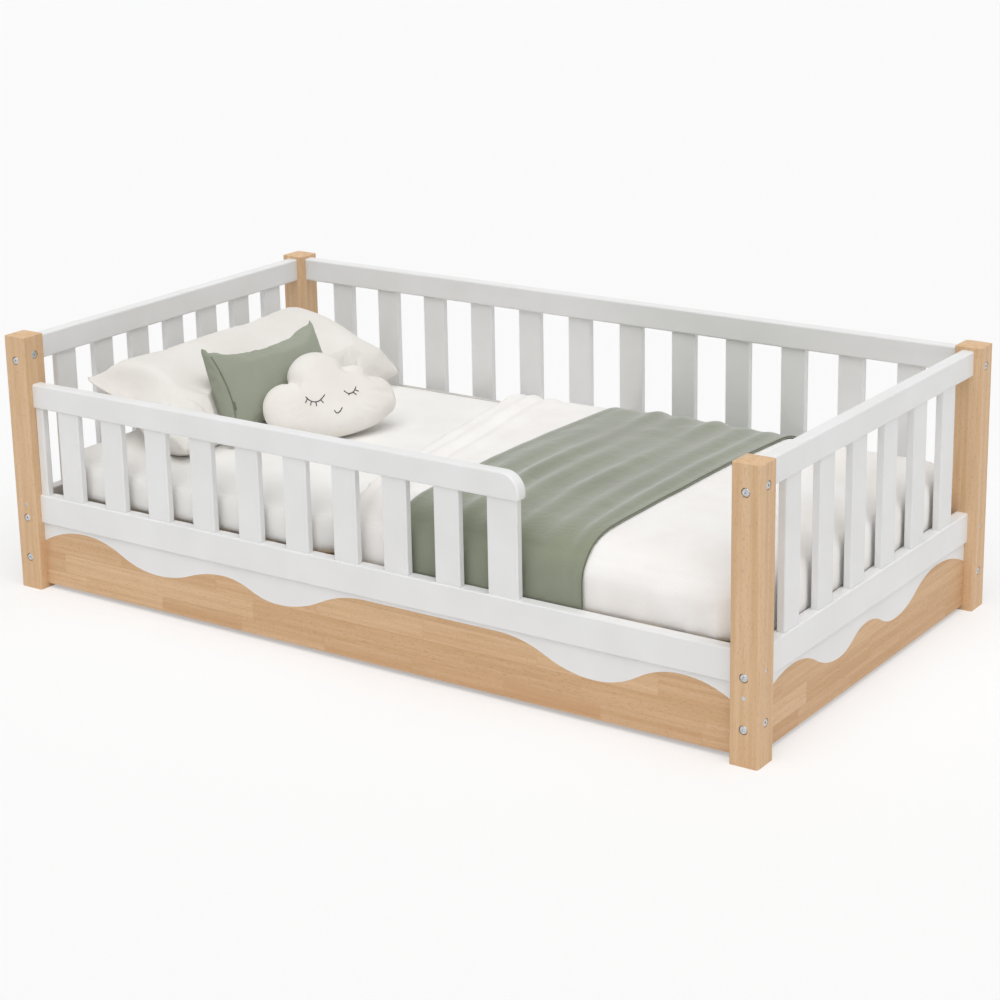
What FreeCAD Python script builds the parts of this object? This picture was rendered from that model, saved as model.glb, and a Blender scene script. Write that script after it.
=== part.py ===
import FreeCAD, Part
import math
import os
import re
import Sketcher

# Toddler floor bed. Four beech corner posts carry bolted rail frames: three tall sides and a
# low front guard that stops short of the foot, so that a child can step in. Each frame has a
# white middle rail over a white apron and a natural base board that meet along a wave.
#
# Row frame: +X runs from head to foot, +Y from the open front to the back, +Z up, and the
# origin lies on the floor under the middle of the bed. Each side is drawn in side coordinates:
# X along the side from one post to the next, Y from the posts' outer faces inwards, Z up.

V = FreeCAD.Vector
doc = FreeCAD.newDocument("toddler_floor_bed")

SIZES = [
    # Overall
    ("bed_length", 1720), ("bed_width", 935), ("post_height", 538), ("post_size", 55),
    ("post_round", 4), ("crown_rise", 5), ("crown_flat", 21),
    # Rails
    ("rail_thick", 26), ("rail_recess", 15), ("rail_height", 50), ("rail_round", 4),
    ("rail_drop", 11), ("guard_top", 435), ("guard_length", 1180), ("guard_nose", 38),
    ("guard_chin", 6), ("mid_top", 201), ("mid_height", 60), ("mid_round", 3),
    # Slats
    ("slat_width", 55), ("slat_thick", 15), ("slat_setback", 4), ("slat_bevel", 1.5),
    ("slat_tenon", 8), ("slat_fit", 0.2), ("end_stile", 65), ("end_stile_inset", 6),
    ("post_batten", 20), ("slats_long", 12), ("slats_head", 7), ("slats_foot", 6),
    ("slats_guard", 9),
    # Apron and base board
    ("board_thick", 20.5), ("floor_gap", 10), ("wave_margin", 8), ("wave_depth", 50),
    ("shoulder_drop", 18), ("wave_end_drop", 31),
    # Bolts, nuts, dowels and screws
    ("bolt_size", 6), ("bolt_bore", 6.5), ("bolt_head", 16), ("head_height", 4.2),
    ("head_sink", 5), ("head_bore", 17), ("hex_key", 4), ("hex_deep", 2.4), ("nut_reach", 30),
    ("nut_size", 10), ("nut_length", 12), ("nut_fit", 0.2), ("bolt_end", 9),
    ("head_dome_rise", 1.2), ("head_dome_width", 1.6), ("bolt_crossing", 10),
    ("top_bolt_drop", 43), ("guard_bolt_drop", 36), ("foot_bolt_drop", 41),
    ("head_bolt_drop", 49), ("low_bolt_rise", 57),
    ("cover_bolt_length", 22), ("dowel_size", 8), ("dowel_reach", 20), ("dowel_fit", 0.1),
    ("dowel_rise", 37), ("mid_dowel_drop", 13), ("low_dowel_rise", 22),
    ("screw_size", 5), ("screw_head", 8), ("screw_sink", 3), ("screw_reach", 32),
    ("screw_head_inset", 0.6),
    ("long_screw_drop", 31), ("head_screw_drop", 21),
    ("foot_screw_drop", 17),
    # Slatted base
    ("ledger_thick", 28), ("ledger_height", 30), ("base_drop", 15), ("base_board", 18),
    ("base_board_width", 70), ("base_boards", 13), ("base_play", 2), ("ledger_gap", 6),
    ("strap_width", 25), ("strap_thick", 1.5), ("strap_inset", 190), ("ledger_screws", 5),
    ("ledger_bite", 14), ("ledger_screw_size", 4), ("ledger_screw_head", 8),
    # Mattress and bedding
    ("mattress_end_gap", 19), ("mattress_side_gap", 26.5), ("mattress_thick", 100),
    ("mattress_round", 60), ("mattress_edge", 26), ("soft_gap", 0.5),
    ("duvet_thick", 30), ("duvet_side", 18.5), ("duvet_crown", 9), ("duvet_tuck", 12),
    ("duvet_roll", 42), ("duvet_edge_back", 610), ("duvet_edge_front", 760),
    ("throw_start", 875), ("throw_width", 412), ("throw_thick", 4), ("throw_lift", 7),
    ("throw_folds", 4), ("throw_side_share", 0.3), ("throw_tuck", 8), ("throw_back", 62),
    ("pillow_width", 735), ("pillow_height", 345), ("pillow_thick", 112), ("pillow_pinch", 8),
    ("pillow_foot", 306), ("pillow_side", 8), ("pillow_lean", 69), ("pillow_turn", 0),
    ("cushion_width", 336), ("cushion_height", 218), ("cushion_thick", 68),
    ("cushion_pinch", 14), ("cushion_foot", 333), ("cushion_side", -68),
    ("cushion_lean", 21), ("cushion_turn", 6),
    ("cloud_width", 298), ("cloud_height", 190), ("cloud_thick", 84), ("cloud_foot", 467),
    ("cloud_side", -57), ("cloud_lean", 37), ("cloud_turn", 25), ("seam_thick", 4),
]

sheet = doc.addObject("Spreadsheet::Sheet", "Sizes")
for row, (alias, number) in enumerate(SIZES, start=1):
    sheet.set(f"A{row}", alias.replace("_", " "))
    sheet.set(f"B{row}", str(number))
    sheet.setAlias(f"B{row}", alias)
doc.recompute()

SIZE_NAMES = {alias for alias, number in SIZES}
NODES = {}


def cells(formula):
    """A formula in size names, with each name pointed at its cell."""
    return re.sub(r"[a-z]+(?:_[a-z]+)+", lambda word: "Sizes." + word.group(0), str(formula))


def value(formula):
    return float(sheet.evalExpression(cells(formula)))


def bind(thing, target, formula):
    thing.setExpression(target, cells(formula))


# Lines and levels that several pieces share
ZERO = "0"
LONG_SPAN = "(bed_length - 2 * post_size)"
SHORT_SPAN = "(bed_width - 2 * post_size)"
BOLT_LINE = "(rail_recess + rail_thick / 2)"
RAIL_BACK = "(rail_recess + rail_thick)"
TOP_OF_RAIL = "(post_height - rail_drop)"
UNDER_RAIL = "(post_height - rail_drop - rail_height)"
UNDER_GUARD = "(guard_top - rail_height)"
UNDER_MID = "(mid_top - mid_height)"
BOARD_FACE = "(rail_recess + rail_thick - board_thick)"
SLAT_FACE = "(rail_recess + slat_setback)"
WAVE_CREST = f"({UNDER_MID} - wave_margin)"
BASE_TOP = "(mid_top - base_drop)"
MATTRESS_FLOOR = f"({BASE_TOP} + strap_thick + soft_gap)"
MATTRESS_TOP = f"({MATTRESS_FLOOR} + mattress_thick)"

# Heights of bolts and screws. The long sides' bolts lie above the short sides', which they
# cross inside the posts.
SHORT_TOP_BOLT = f"({TOP_OF_RAIL} - top_bolt_drop)"
LONG_TOP_BOLT = f"({SHORT_TOP_BOLT} + bolt_crossing)"
SHORT_LOW_BOLT = "(floor_gap + low_bolt_rise)"
LONG_LOW_BOLT = f"({SHORT_LOW_BOLT} + bolt_crossing)"
GUARD_BOLT = "(guard_top - guard_bolt_drop)"
FOOT_MID_BOLT = "(mid_top - foot_bolt_drop)"
HEAD_MID_BOLT = "(mid_top - head_bolt_drop)"
LONG_SCREW = "(mid_top - long_screw_drop)"
HEAD_SCREW = "(mid_top - head_screw_drop)"
FOOT_SCREW = f"({UNDER_MID} - foot_screw_drop)"

# Where each side's coordinates start, and how far it is turned: front, foot, back, head
SIDES = {
    "front": ("-bed_length / 2 + post_size", "-bed_width / 2", 0, LONG_SPAN),
    "foot": ("bed_length / 2", "-bed_width / 2 + post_size", 90, SHORT_SPAN),
    "back": ("bed_length / 2 - post_size", "bed_width / 2", 180, LONG_SPAN),
    "head": ("-bed_length / 2", "bed_width / 2 - post_size", 270, SHORT_SPAN),
}
# Where each post's outer corner stands; its local X and Y run inwards from its outer faces
CORNERS = {
    "post_front_head": ("-bed_length / 2", "-bed_width / 2", 0),
    "post_front_foot": ("bed_length / 2", "-bed_width / 2", 90),
    "post_back_foot": ("bed_length / 2", "bed_width / 2", 180),
    "post_back_head": ("-bed_length / 2", "bed_width / 2", 270),
}


def seat(thing, x, y, turn):
    thing.Placement = FreeCAD.Placement(V(), FreeCAD.Rotation(V(0, 0, 1), turn))
    bind(thing, "Placement.Base.x", x)
    bind(thing, "Placement.Base.y", y)


def new_body(label):
    body = doc.addObject("PartDesign::Body", label)
    body.Label = label
    NODES[label] = body
    return body


def sketch_on(body, role, offset):
    sketch = body.newObject("Sketcher::SketchObject", body.Name + "_sketch")
    plane = next(item for item in body.Origin.OriginFeatures if item.Role == role)
    sketch.AttachmentSupport = [(plane, "")]
    sketch.MapMode = "FlatFace"
    bind(sketch, "AttachmentOffset.Base.z", offset)
    return sketch


def pin_point(sketch, item, spot, x, y):
    """Holds one point of a sketch item at formulas x and y from the sketch's origin."""
    for kind, formula in (("DistanceX", x), ("DistanceY", y)):
        index = sketch.addConstraint(
            Sketcher.Constraint(kind, -1, 1, item, spot, value(formula)))
        bind(sketch, f"Constraints[{index}]", formula)


def arc_between(start, end, radius, side):
    """The short arc from start to end; side is 1 when its centre lies to the left."""
    chord = end - start
    height = math.sqrt(max(radius ** 2 - (chord.Length / 2) ** 2, 0))
    left = V(-chord.y, chord.x, 0).normalize()
    centre = start + chord * 0.5 + left * (height * side)
    ends = (start, end) if side > 0 else (end, start)
    angles = [math.atan2(point.y - centre.y, point.x - centre.x) for point in ends]
    if angles[1] < angles[0]:
        angles[1] += 2 * math.pi
    return Part.ArcOfCircle(Part.Circle(centre, V(0, 0, 1), radius), *angles)


def outline(sketch, corners):
    """A closed outline. Each corner is (x, y), reached by a line, or (x, y, radius, side),
    reached by an arc whose centre lies to the left (1) or the right (-1) of the way."""
    points = [V(value(corner[0]), value(corner[1]), 0) for corner in corners]
    ends = []
    for index, corner in enumerate(corners):
        start, end = points[index - 1], points[index]
        if len(corner) == 2:
            item = sketch.addGeometry(Part.LineSegment(start, end), False)
            ends.append((item, 1, 2))
        else:
            radius, side = corner[2], corner[3]
            item = sketch.addGeometry(arc_between(start, end, value(radius), side), False)
            ends.append((item, 1, 2) if side > 0 else (item, 2, 1))
            held = sketch.addConstraint(Sketcher.Constraint("Radius", item, value(radius)))
            bind(sketch, f"Constraints[{held}]", radius)
    for index, corner in enumerate(corners):
        item, start, end = ends[index]
        follower, follower_start, follower_end = ends[(index + 1) % len(ends)]
        sketch.addConstraint(
            Sketcher.Constraint("Coincident", item, end, follower, follower_start))
        pin_point(sketch, item, end, corner[0], corner[1])


def rectangle(left, low, right, high):
    return [(left, low), (right, low), (right, high), (left, high)]


def pad(body, sketch, length, backwards=False):
    feature = body.newObject("PartDesign::Pad", body.Name + "_pad")
    feature.Profile = sketch
    bind(feature, "Length", length)
    feature.Reversed = backwards
    doc.recompute()
    return feature


def cut(body, sketch, depth, along_normal):
    """A pocket that must take wood away; along_normal runs it the way the sketch faces."""
    before = body.Shape.Volume
    feature = body.newObject("PartDesign::Pocket", body.Name + "_pocket")
    feature.Profile = sketch
    bind(feature, "Length", depth)
    feature.Reversed = along_normal
    doc.recompute()
    if body.Shape.Volume > before - 1:
        raise RuntimeError(f"a pocket in {body.Label} cuts nothing")
    return feature


def round_edges(body, radius, wanted):
    """Rounds the edges of the body that the function wanted picks."""
    base = body.Tip
    names = [f"Edge{index}" for index, edge in enumerate(base.Shape.Edges, start=1)
             if wanted(edge)]
    feature = body.newObject("PartDesign::Fillet", body.Name + "_round")
    feature.Base = (base, names)
    bind(feature, "Radius", radius)
    doc.recompute()
    return feature


def runs_along(edge, axis):
    if not isinstance(edge.Curve, Part.Line):
        return False
    return abs(edge.tangentAt(edge.FirstParameter).dot(axis)) > 0.999


def repeat(body, feature, sketch, count, pitch):
    """Copies a feature along the sketch's own horizontal axis."""
    pattern = body.newObject("PartDesign::LinearPattern", body.Name + "_pattern")
    pattern.Originals = [feature]
    pattern.Direction = (sketch, ["H_Axis"])
    bind(pattern, "Occurrences", count)
    bind(pattern, "Length", f"({count} - 1) * {pitch}")
    body.Tip = pattern
    doc.recompute()
    return pattern


def holes(body, role, offset, spots, diameter, depth, along_normal):
    sketch = sketch_on(body, role, offset)
    for x, y in spots:
        centre = V(value(x), value(y), 0)
        item = sketch.addGeometry(Part.Circle(centre, V(0, 0, 1), value(diameter) / 2), False)
        index = sketch.addConstraint(Sketcher.Constraint("Diameter", item, value(diameter)))
        bind(sketch, f"Constraints[{index}]", diameter)
        pin_point(sketch, item, 3, x, y)
    cut(body, sketch, depth, along_normal)


# Corner posts: beech, planed square with rounded arrises and a low four-sided crown. Each is
# drilled through both ways: along X for the long sides' bolts and along Y for the short
# sides'. The two sets stand 10 mm apart in height, so that no two bolts meet in the middle.
SHORT_HEAD = {"bolts": [SHORT_TOP_BOLT, HEAD_MID_BOLT, SHORT_LOW_BOLT],
              "screws": [HEAD_SCREW]}
SHORT_FOOT = {"bolts": [SHORT_TOP_BOLT, FOOT_MID_BOLT, SHORT_LOW_BOLT],
              "screws": [FOOT_SCREW]}
LONG_BACK = {"bolts": [LONG_TOP_BOLT, LONG_LOW_BOLT], "screws": [LONG_SCREW]}
LONG_FRONT_HEAD = {"bolts": [GUARD_BOLT, LONG_LOW_BOLT], "screws": [LONG_SCREW]}
LONG_FRONT_FOOT = {"bolts": [LONG_LOW_BOLT], "screws": [LONG_SCREW]}
TOP_DOWEL = f"({UNDER_RAIL} + dowel_rise)"
GUARD_DOWEL = f"({UNDER_GUARD} + dowel_rise)"
MID_DOWEL = "(mid_top - mid_dowel_drop)"
LOW_DOWEL = "(floor_gap + low_dowel_rise)"
MID_LOW_DOWEL = f"({UNDER_MID} + mid_dowel_drop)"

# For each post: what runs along its local X, then along its local Y, and the dowels each way
POST_DRILLING = {
    "post_front_head": (LONG_FRONT_HEAD, SHORT_HEAD,
                        [GUARD_DOWEL, MID_DOWEL, MID_LOW_DOWEL, LOW_DOWEL],
                        [TOP_DOWEL, LOW_DOWEL]),
    "post_front_foot": (SHORT_FOOT, LONG_FRONT_FOOT,
                        [TOP_DOWEL, MID_DOWEL, LOW_DOWEL],
                        [MID_DOWEL, MID_LOW_DOWEL, LOW_DOWEL]),
    "post_back_foot": (LONG_BACK, SHORT_FOOT,
                       [TOP_DOWEL, MID_DOWEL, MID_LOW_DOWEL, LOW_DOWEL],
                       [TOP_DOWEL, MID_DOWEL, LOW_DOWEL]),
    "post_back_head": (SHORT_HEAD, LONG_BACK,
                       [TOP_DOWEL, LOW_DOWEL],
                       [TOP_DOWEL, MID_DOWEL, MID_LOW_DOWEL, LOW_DOWEL]),
}


def rounded_square(inset, corner_round):
    """A square outline inside the post's section, inset all round."""
    near, far = f"({inset})", f"(post_size - ({inset}))"
    low, high = f"({near} + {corner_round})", f"({far} - {corner_round})"
    return [(high, near), (far, low, corner_round, 1), (far, high),
            (high, far, corner_round, 1), (low, far), (near, high, corner_round, 1),
            (near, low), (low, near, corner_round, 1)]


def post(label):
    x, y, turn = CORNERS[label]
    body = new_body(label)
    shaft = sketch_on(body, "XY_Plane", ZERO)
    outline(shaft, rounded_square(ZERO, "post_round"))
    pad(body, shaft, "post_height - crown_rise")
    low_square = sketch_on(body, "XY_Plane", "post_height - crown_rise")
    outline(low_square, rounded_square(ZERO, "post_round"))
    high_square = sketch_on(body, "XY_Plane", "post_height")
    outline(high_square, rounded_square("(post_size - crown_flat) / 2", "post_round"))
    crown = body.newObject("PartDesign::AdditiveLoft", body.Name + "_crown")
    crown.Profile = low_square
    crown.Sections = [high_square]
    crown.Ruled = True
    doc.recompute()
    along_x, along_y, dowels_x, dowels_y = POST_DRILLING[label]
    inner = "post_size"
    for role, drilling, dowels, forwards in (("YZ_Plane", along_x, dowels_x, True),
                                             ("XZ_Plane", along_y, dowels_y, False)):
        bolts = [(BOLT_LINE, height) for height in drilling["bolts"]]
        screws = [(BOLT_LINE, height) for height in drilling["screws"]]
        far_face = inner if forwards else f"-{inner}"
        holes(body, role, ZERO, bolts, "bolt_bore", inner, forwards)
        holes(body, role, ZERO, bolts, "head_bore", "head_sink", forwards)
        holes(body, role, ZERO, screws, "screw_size + dowel_fit", inner, forwards)
        holes(body, role, ZERO, screws, "screw_head + nut_fit", "screw_sink",
              forwards)
        holes(body, role, far_face, [(BOLT_LINE, height) for height in dowels],
              "dowel_size + dowel_fit", "dowel_reach", not forwards)
    return body


for name in CORNERS:
    post(name)

# The posts are all drilled alike at the top, so the two front posts, which have no long top
# rail, get a short cover bolt there: in the inner face at the head, in the outer at the foot.
COVER_DEPTH = "head_sink + cover_bolt_length"
COVERS = {"post_front_head": ("YZ_Plane", "post_size", False),
          "post_front_foot": ("XZ_Plane", ZERO, False)}
for name, (role, face, along) in COVERS.items():
    spot = [(BOLT_LINE, LONG_TOP_BOLT)]
    holes(NODES[name], role, face, spot, "bolt_bore", COVER_DEPTH, along)
    holes(NODES[name], role, face, spot, "head_bore", "head_sink", along)

for name, (x, y, turn) in CORNERS.items():
    seat(NODES[name], x, y, turn)


# Rails: straight white-painted beech bars with rounded long edges, let in between the
# posts 15 mm behind their outer faces. A rail is drawn from its outer face and padded inwards.
def bar(label, corners, face, thick, rounding):
    body = new_body(label)
    sketch = sketch_on(body, "XZ_Plane", f"-({face})")
    outline(sketch, corners)
    pad(body, sketch, thick, backwards=True)
    if rounding:
        round_edges(body, rounding, lambda edge: runs_along(edge, V(1, 0, 0)))
    return body


def end_holes(body, span, heights, diameter, depth, ends=("near", "far")):
    """Holes along the rail, drilled into one or both of its ends on the bolt line."""
    spots = [(BOLT_LINE, height) for height in heights]
    if "near" in ends:
        holes(body, "YZ_Plane", ZERO, spots, diameter, depth, True)
    if "far" in ends:
        holes(body, "YZ_Plane", span, spots, diameter, depth, False)


def nut_places(span, ends=("near", "far")):
    places = {"near": "nut_reach", "far": f"({span} - nut_reach)"}
    return [places[end] for end in ends]


def nut_holes_below(body, span, underside, height, ends=("near", "far")):
    """Barrel-nut holes drilled up from a rail's underside to just past its bolts."""
    spots = [(along, BOLT_LINE) for along in nut_places(span, ends)]
    depth = f"({height} - {underside} + nut_length / 2 + nut_fit)"
    holes(body, "XY_Plane", underside, spots, "nut_size + nut_fit", depth, True)


def nut_holes_inside(body, span, height, ends=("near", "far")):
    """Barrel-nut holes drilled from the inner face, which the mattress hides."""
    spots = [(along, height) for along in nut_places(span, ends)]
    depth = "(rail_thick / 2 + nut_length / 2 + nut_fit)"
    holes(body, "XZ_Plane", f"-{RAIL_BACK}", spots, "nut_size + nut_fit", depth, True)


def mortises(body, level, into, count, first, pitch):
    """A row of blind mortises for slats, cut from a rail's edge."""
    sketch = sketch_on(body, "XY_Plane", level)
    left = f"({first} - slat_fit)"
    right = f"({first} + slat_width + slat_fit)"
    near = f"({SLAT_FACE} - slat_fit)"
    far = f"({SLAT_FACE} + slat_thick + slat_fit)"
    outline(sketch, rectangle(left, near, right, far))
    pocket = cut(body, sketch, "slat_tenon + slat_fit", into)
    repeat(body, pocket, sketch, count, pitch)


# Even slats: the same gap between slats and beside the posts
def spread(span, count):
    gap = f"(({span} - {count} * slat_width) / ({count} + 1))"
    return gap, f"({gap} + slat_width)"


GUARD_RUN = "(guard_length - end_stile_inset - end_stile)"
SLAT_ROWS = {
    "back": ("slats_long", *spread(LONG_SPAN, "slats_long")),
    "head": ("slats_head", *spread(SHORT_SPAN, "slats_head")),
    "foot": ("slats_foot", *spread(SHORT_SPAN, "slats_foot")),
    "front": ("slats_guard", *spread(GUARD_RUN, "slats_guard")),
}
SHORT_BOLTS = {"head": (HEAD_MID_BOLT, HEAD_SCREW), "foot": (FOOT_MID_BOLT, FOOT_SCREW)}
SHANK_DEPTH = "(nut_reach + bolt_end + nut_fit)"


def top_rail(side):
    span = SIDES[side][3]
    bolt = LONG_TOP_BOLT if side == "back" else SHORT_TOP_BOLT
    body = bar(f"top_rail_{side}",
               rectangle(ZERO, UNDER_RAIL, span, TOP_OF_RAIL),
               "rail_recess", "rail_thick", "rail_round")
    end_holes(body, span, [bolt], "bolt_bore", SHANK_DEPTH)
    end_holes(body, span, [TOP_DOWEL], "dowel_size + dowel_fit", "dowel_reach")
    nut_holes_below(body, span, UNDER_RAIL, bolt)
    count, first, pitch = SLAT_ROWS[side]
    mortises(body, UNDER_RAIL, True, count, first, pitch)


def guard_rail():
    """The low front rail, with a large round nose where the entrance begins."""
    nose_left, nose_low = "(guard_length - guard_nose)", "(guard_top - guard_nose)"
    chin_left, chin_high = "(guard_length - guard_chin)", f"({UNDER_GUARD} + guard_chin)"
    corners = [(ZERO, UNDER_GUARD), (chin_left, UNDER_GUARD),
               ("guard_length", chin_high, "guard_chin", 1), ("guard_length", nose_low),
               (nose_left, "guard_top", "guard_nose", 1), (ZERO, "guard_top")]
    body = bar("guard_rail", corners, "rail_recess", "rail_thick", None)
    face, back = value("rail_recess"), value(RAIL_BACK)

    def lies_in_a_face(edge):
        box = edge.BoundBox
        flat = min(abs(box.YMin - face), abs(box.YMin - back)) < 1e-6
        return flat and box.YLength < 1e-6 and box.XMax > 1e-6

    round_edges(body, "rail_round", lies_in_a_face)
    end_holes(body, LONG_SPAN, [GUARD_BOLT], "bolt_bore", SHANK_DEPTH, ends=("near",))
    end_holes(body, LONG_SPAN, [GUARD_DOWEL], "dowel_size + dowel_fit", "dowel_reach",
              ends=("near",))
    nut_holes_below(body, LONG_SPAN, UNDER_GUARD, GUARD_BOLT, ends=("near",))
    count, first, pitch = SLAT_ROWS["front"]
    mortises(body, UNDER_GUARD, True, count, first, pitch)


LEDGER_TOP = f"({BASE_TOP} - base_board)"


def ledger_screw_spots():
    """Evenly spread screws along a long side, at the ledger's middle height."""
    count = int(value("ledger_screws"))
    height = f"({LEDGER_TOP} - ledger_height / 2)"
    return [(f"({(index + 0.5) / count} * {LONG_SPAN})", height) for index in range(count)]


def mid_rail(side):
    span = SIDES[side][3]
    body = bar(f"mid_rail_{side}",
               rectangle(ZERO, UNDER_MID, span, "mid_top"),
               "rail_recess", "rail_thick", "mid_round")
    if side in SHORT_BOLTS:
        bolt, screw = SHORT_BOLTS[side]
        end_holes(body, span, [bolt], "bolt_bore", SHANK_DEPTH)
        nut_holes_inside(body, span, bolt)
        if side == "foot":
            dowels = [MID_DOWEL]
        else:
            dowels = []
            end_holes(body, span, [screw], "screw_size + dowel_fit", "screw_reach + dowel_fit")
    else:
        dowels = [MID_DOWEL, MID_LOW_DOWEL]
        end_holes(body, span, [LONG_SCREW], "screw_size + dowel_fit",
                  "screw_reach + dowel_fit")
        holes(body, "XZ_Plane", f"-{RAIL_BACK}", ledger_screw_spots(),
              "ledger_screw_size + dowel_fit", "ledger_bite + dowel_fit", True)
    if dowels:
        end_holes(body, span, dowels, "dowel_size + dowel_fit", "dowel_reach")
    count, first, pitch = SLAT_ROWS[side]
    mortises(body, "mid_top", False, count, first, pitch)


# Slats: thin white boards with bevelled arrises, tenoned into both rails and set back from
# the rails' faces. A row is one slat repeated at the mortises' own pitch.
def slat_section(left, right):
    near, far = SLAT_FACE, f"({SLAT_FACE} + slat_thick)"
    edge = "slat_bevel"
    return [(f"({left} + {edge})", near), (f"({right} - {edge})", near),
            (right, f"({near} + {edge})"), (right, f"({far} - {edge})"),
            (f"({right} - {edge})", far), (f"({left} + {edge})", far),
            (left, f"({far} - {edge})"), (left, f"({near} + {edge})")]


def upright(label, left, right, low, high):
    body = new_body(label)
    sketch = sketch_on(body, "XY_Plane", low)
    outline(sketch, slat_section(left, right))
    return body, sketch, pad(body, sketch, f"{high} - {low}")


def slat_row(label, side, top):
    count, first, pitch = SLAT_ROWS[side]
    body, sketch, slat = upright(label, first, f"({first} + slat_width)",
                                 "(mid_top - slat_tenon)", f"({top} + slat_tenon)")
    repeat(body, slat, sketch, count, pitch)


# Apron and base board: one flush wall under each middle rail, 5.5 mm behind its face. The
# white apron fills from the rail down to a wave, and the finger-jointed beech board fills
# from the same wave down to 10 mm off the floor. Crests and troughs are joined by pairs of
# equal arcs. Each wave point is a share of the span and a level.
HIGH, LOW = WAVE_CREST, f"({WAVE_CREST} - wave_depth)"
SHOULDER, END = f"({WAVE_CREST} - shoulder_drop)", f"({WAVE_CREST} - wave_end_drop)"
LONG_WAVE = [(0, END), (0.07, HIGH), (0.193, LOW), (0.298, SHOULDER), (0.383, LOW),
             (0.512, HIGH), (0.699, HIGH), (0.827, LOW), (0.935, HIGH), (1, END)]
SHORT_WAVE = [(0, END), (0.131, HIGH), (0.344, LOW), (0.481, SHOULDER), (0.623, LOW),
              (0.845, HIGH), (1, END)]


def wave(points, span):
    """The wave from the first point to the last, as outline corners after the first."""
    corners = []
    last = len(points) - 1
    for index in range(1, len(points)):
        (share_a, level_a), (share_b, level_b) = points[index - 1], points[index]
        x_a, x_b = f"({share_a} * {span})", f"({share_b} * {span})"
        run, rise = f"({x_b} - {x_a})", f"({level_b} - {level_a})"
        climbs = value(rise) > 0
        if level_a == level_b:
            corners.append((x_b, level_b))
        elif index in (1, last):
            radius = f"(({run} ^ 2 + {rise} ^ 2) / (2 * abs({rise})))"
            corners.append((x_b, level_b, radius, -1))
        else:
            radius = f"(({run} ^ 2 + {rise} ^ 2) / (4 * abs({rise})))"
            middle = (f"(({x_a} + {x_b}) / 2)", f"(({level_a} + {level_b}) / 2)")
            corners.append((*middle, radius, 1 if climbs else -1))
            corners.append((x_b, level_b, radius, -1 if climbs else 1))
    return corners


def turned(start, corners):
    """The same run of corners walked the other way, back to the start point."""
    path = [start] + corners
    back = []
    for index in range(len(path) - 1, 0, -1):
        goal = path[index - 1][:2]
        way = path[index][2:]
        back.append((*goal, way[0], -way[1]) if way else goal)
    return back


def apron(side, points):
    span = SIDES[side][3]
    start = (ZERO, points[0][1])
    body = new_body(f"apron_{side}")
    sketch = sketch_on(body, "XZ_Plane", f"-{BOARD_FACE}")
    outline(sketch, wave(points, span) + [(span, UNDER_MID), (ZERO, UNDER_MID),
                                          start])
    pad(body, sketch, "board_thick", backwards=True)
    if side == "foot":
        end_holes(body, span, [FOOT_SCREW], "screw_size + dowel_fit",
                  "screw_reach + dowel_fit")


def base_board(side, points):
    span = SIDES[side][3]
    bolt = SHORT_LOW_BOLT if side in SHORT_BOLTS else LONG_LOW_BOLT
    start = (ZERO, points[0][1])
    body = new_body(f"base_board_{side}")
    sketch = sketch_on(body, "XZ_Plane", f"-{BOARD_FACE}")
    outline(sketch, [(ZERO, "floor_gap"), (span, "floor_gap"),
                     (span, points[-1][1])] + turned(start, wave(points, span)))
    pad(body, sketch, "board_thick", backwards=True)
    end_holes(body, span, [bolt], "bolt_bore", SHANK_DEPTH)
    end_holes(body, span, [LOW_DOWEL], "dowel_size + dowel_fit", "dowel_reach")
    nut_holes_inside(body, span, bolt)


for name in ("back", "head", "foot"):
    top_rail(name)
    slat_row(f"slats_{name}", name, UNDER_RAIL)
guard_rail()
slat_row("slats_guard", "front", UNDER_GUARD)
for name, wave_points in (("front", LONG_WAVE), ("foot", SHORT_WAVE),
                          ("back", LONG_WAVE), ("head", SHORT_WAVE)):
    mid_rail(name)
    apron(name, wave_points)
    base_board(name, wave_points)

# Guard ends: a narrow batten screwed to the head post, and a wider stile at the entrance.
# Both stand between the middle rail and the guard rail, in the plane of the slats.
upright("guard_batten", ZERO, "post_batten", "mid_top", UNDER_GUARD)
upright("guard_stile", GUARD_RUN, f"({GUARD_RUN} + end_stile)", "mid_top", UNDER_GUARD)

for label, body in NODES.items():
    if label in CORNERS:
        continue
    side = "front" if label.startswith("guard") or label == "slats_guard" else \
        label.rsplit("_", 1)[1]
    x, y, turn, span = SIDES[side]
    seat(body, x, y, turn)


# Slatted base: two ledgers screwed inside the long sides, and loose beech boards laid across
# them with two webbing straps over the top that keep their distance.
for side in ("front", "back"):
    ledger = new_body(f"ledger_{side}")
    sketch = sketch_on(ledger, "XZ_Plane", f"-{RAIL_BACK}")
    outline(sketch, rectangle("ledger_gap", f"({LEDGER_TOP} - ledger_height)",
                              f"({LONG_SPAN} - ledger_gap)", LEDGER_TOP))
    pad(ledger, sketch, "ledger_thick", backwards=True)
    for width, depth in (("ledger_screw_size", "ledger_thick"),
                         ("ledger_screw_head", "screw_sink")):
        holes(ledger, "XZ_Plane", f"-({RAIL_BACK} + ledger_thick)", ledger_screw_spots(),
              f"{width} + dowel_fit", depth, True)
    x, y, turn, span = SIDES[side]
    seat(ledger, x, y, turn)

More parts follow.
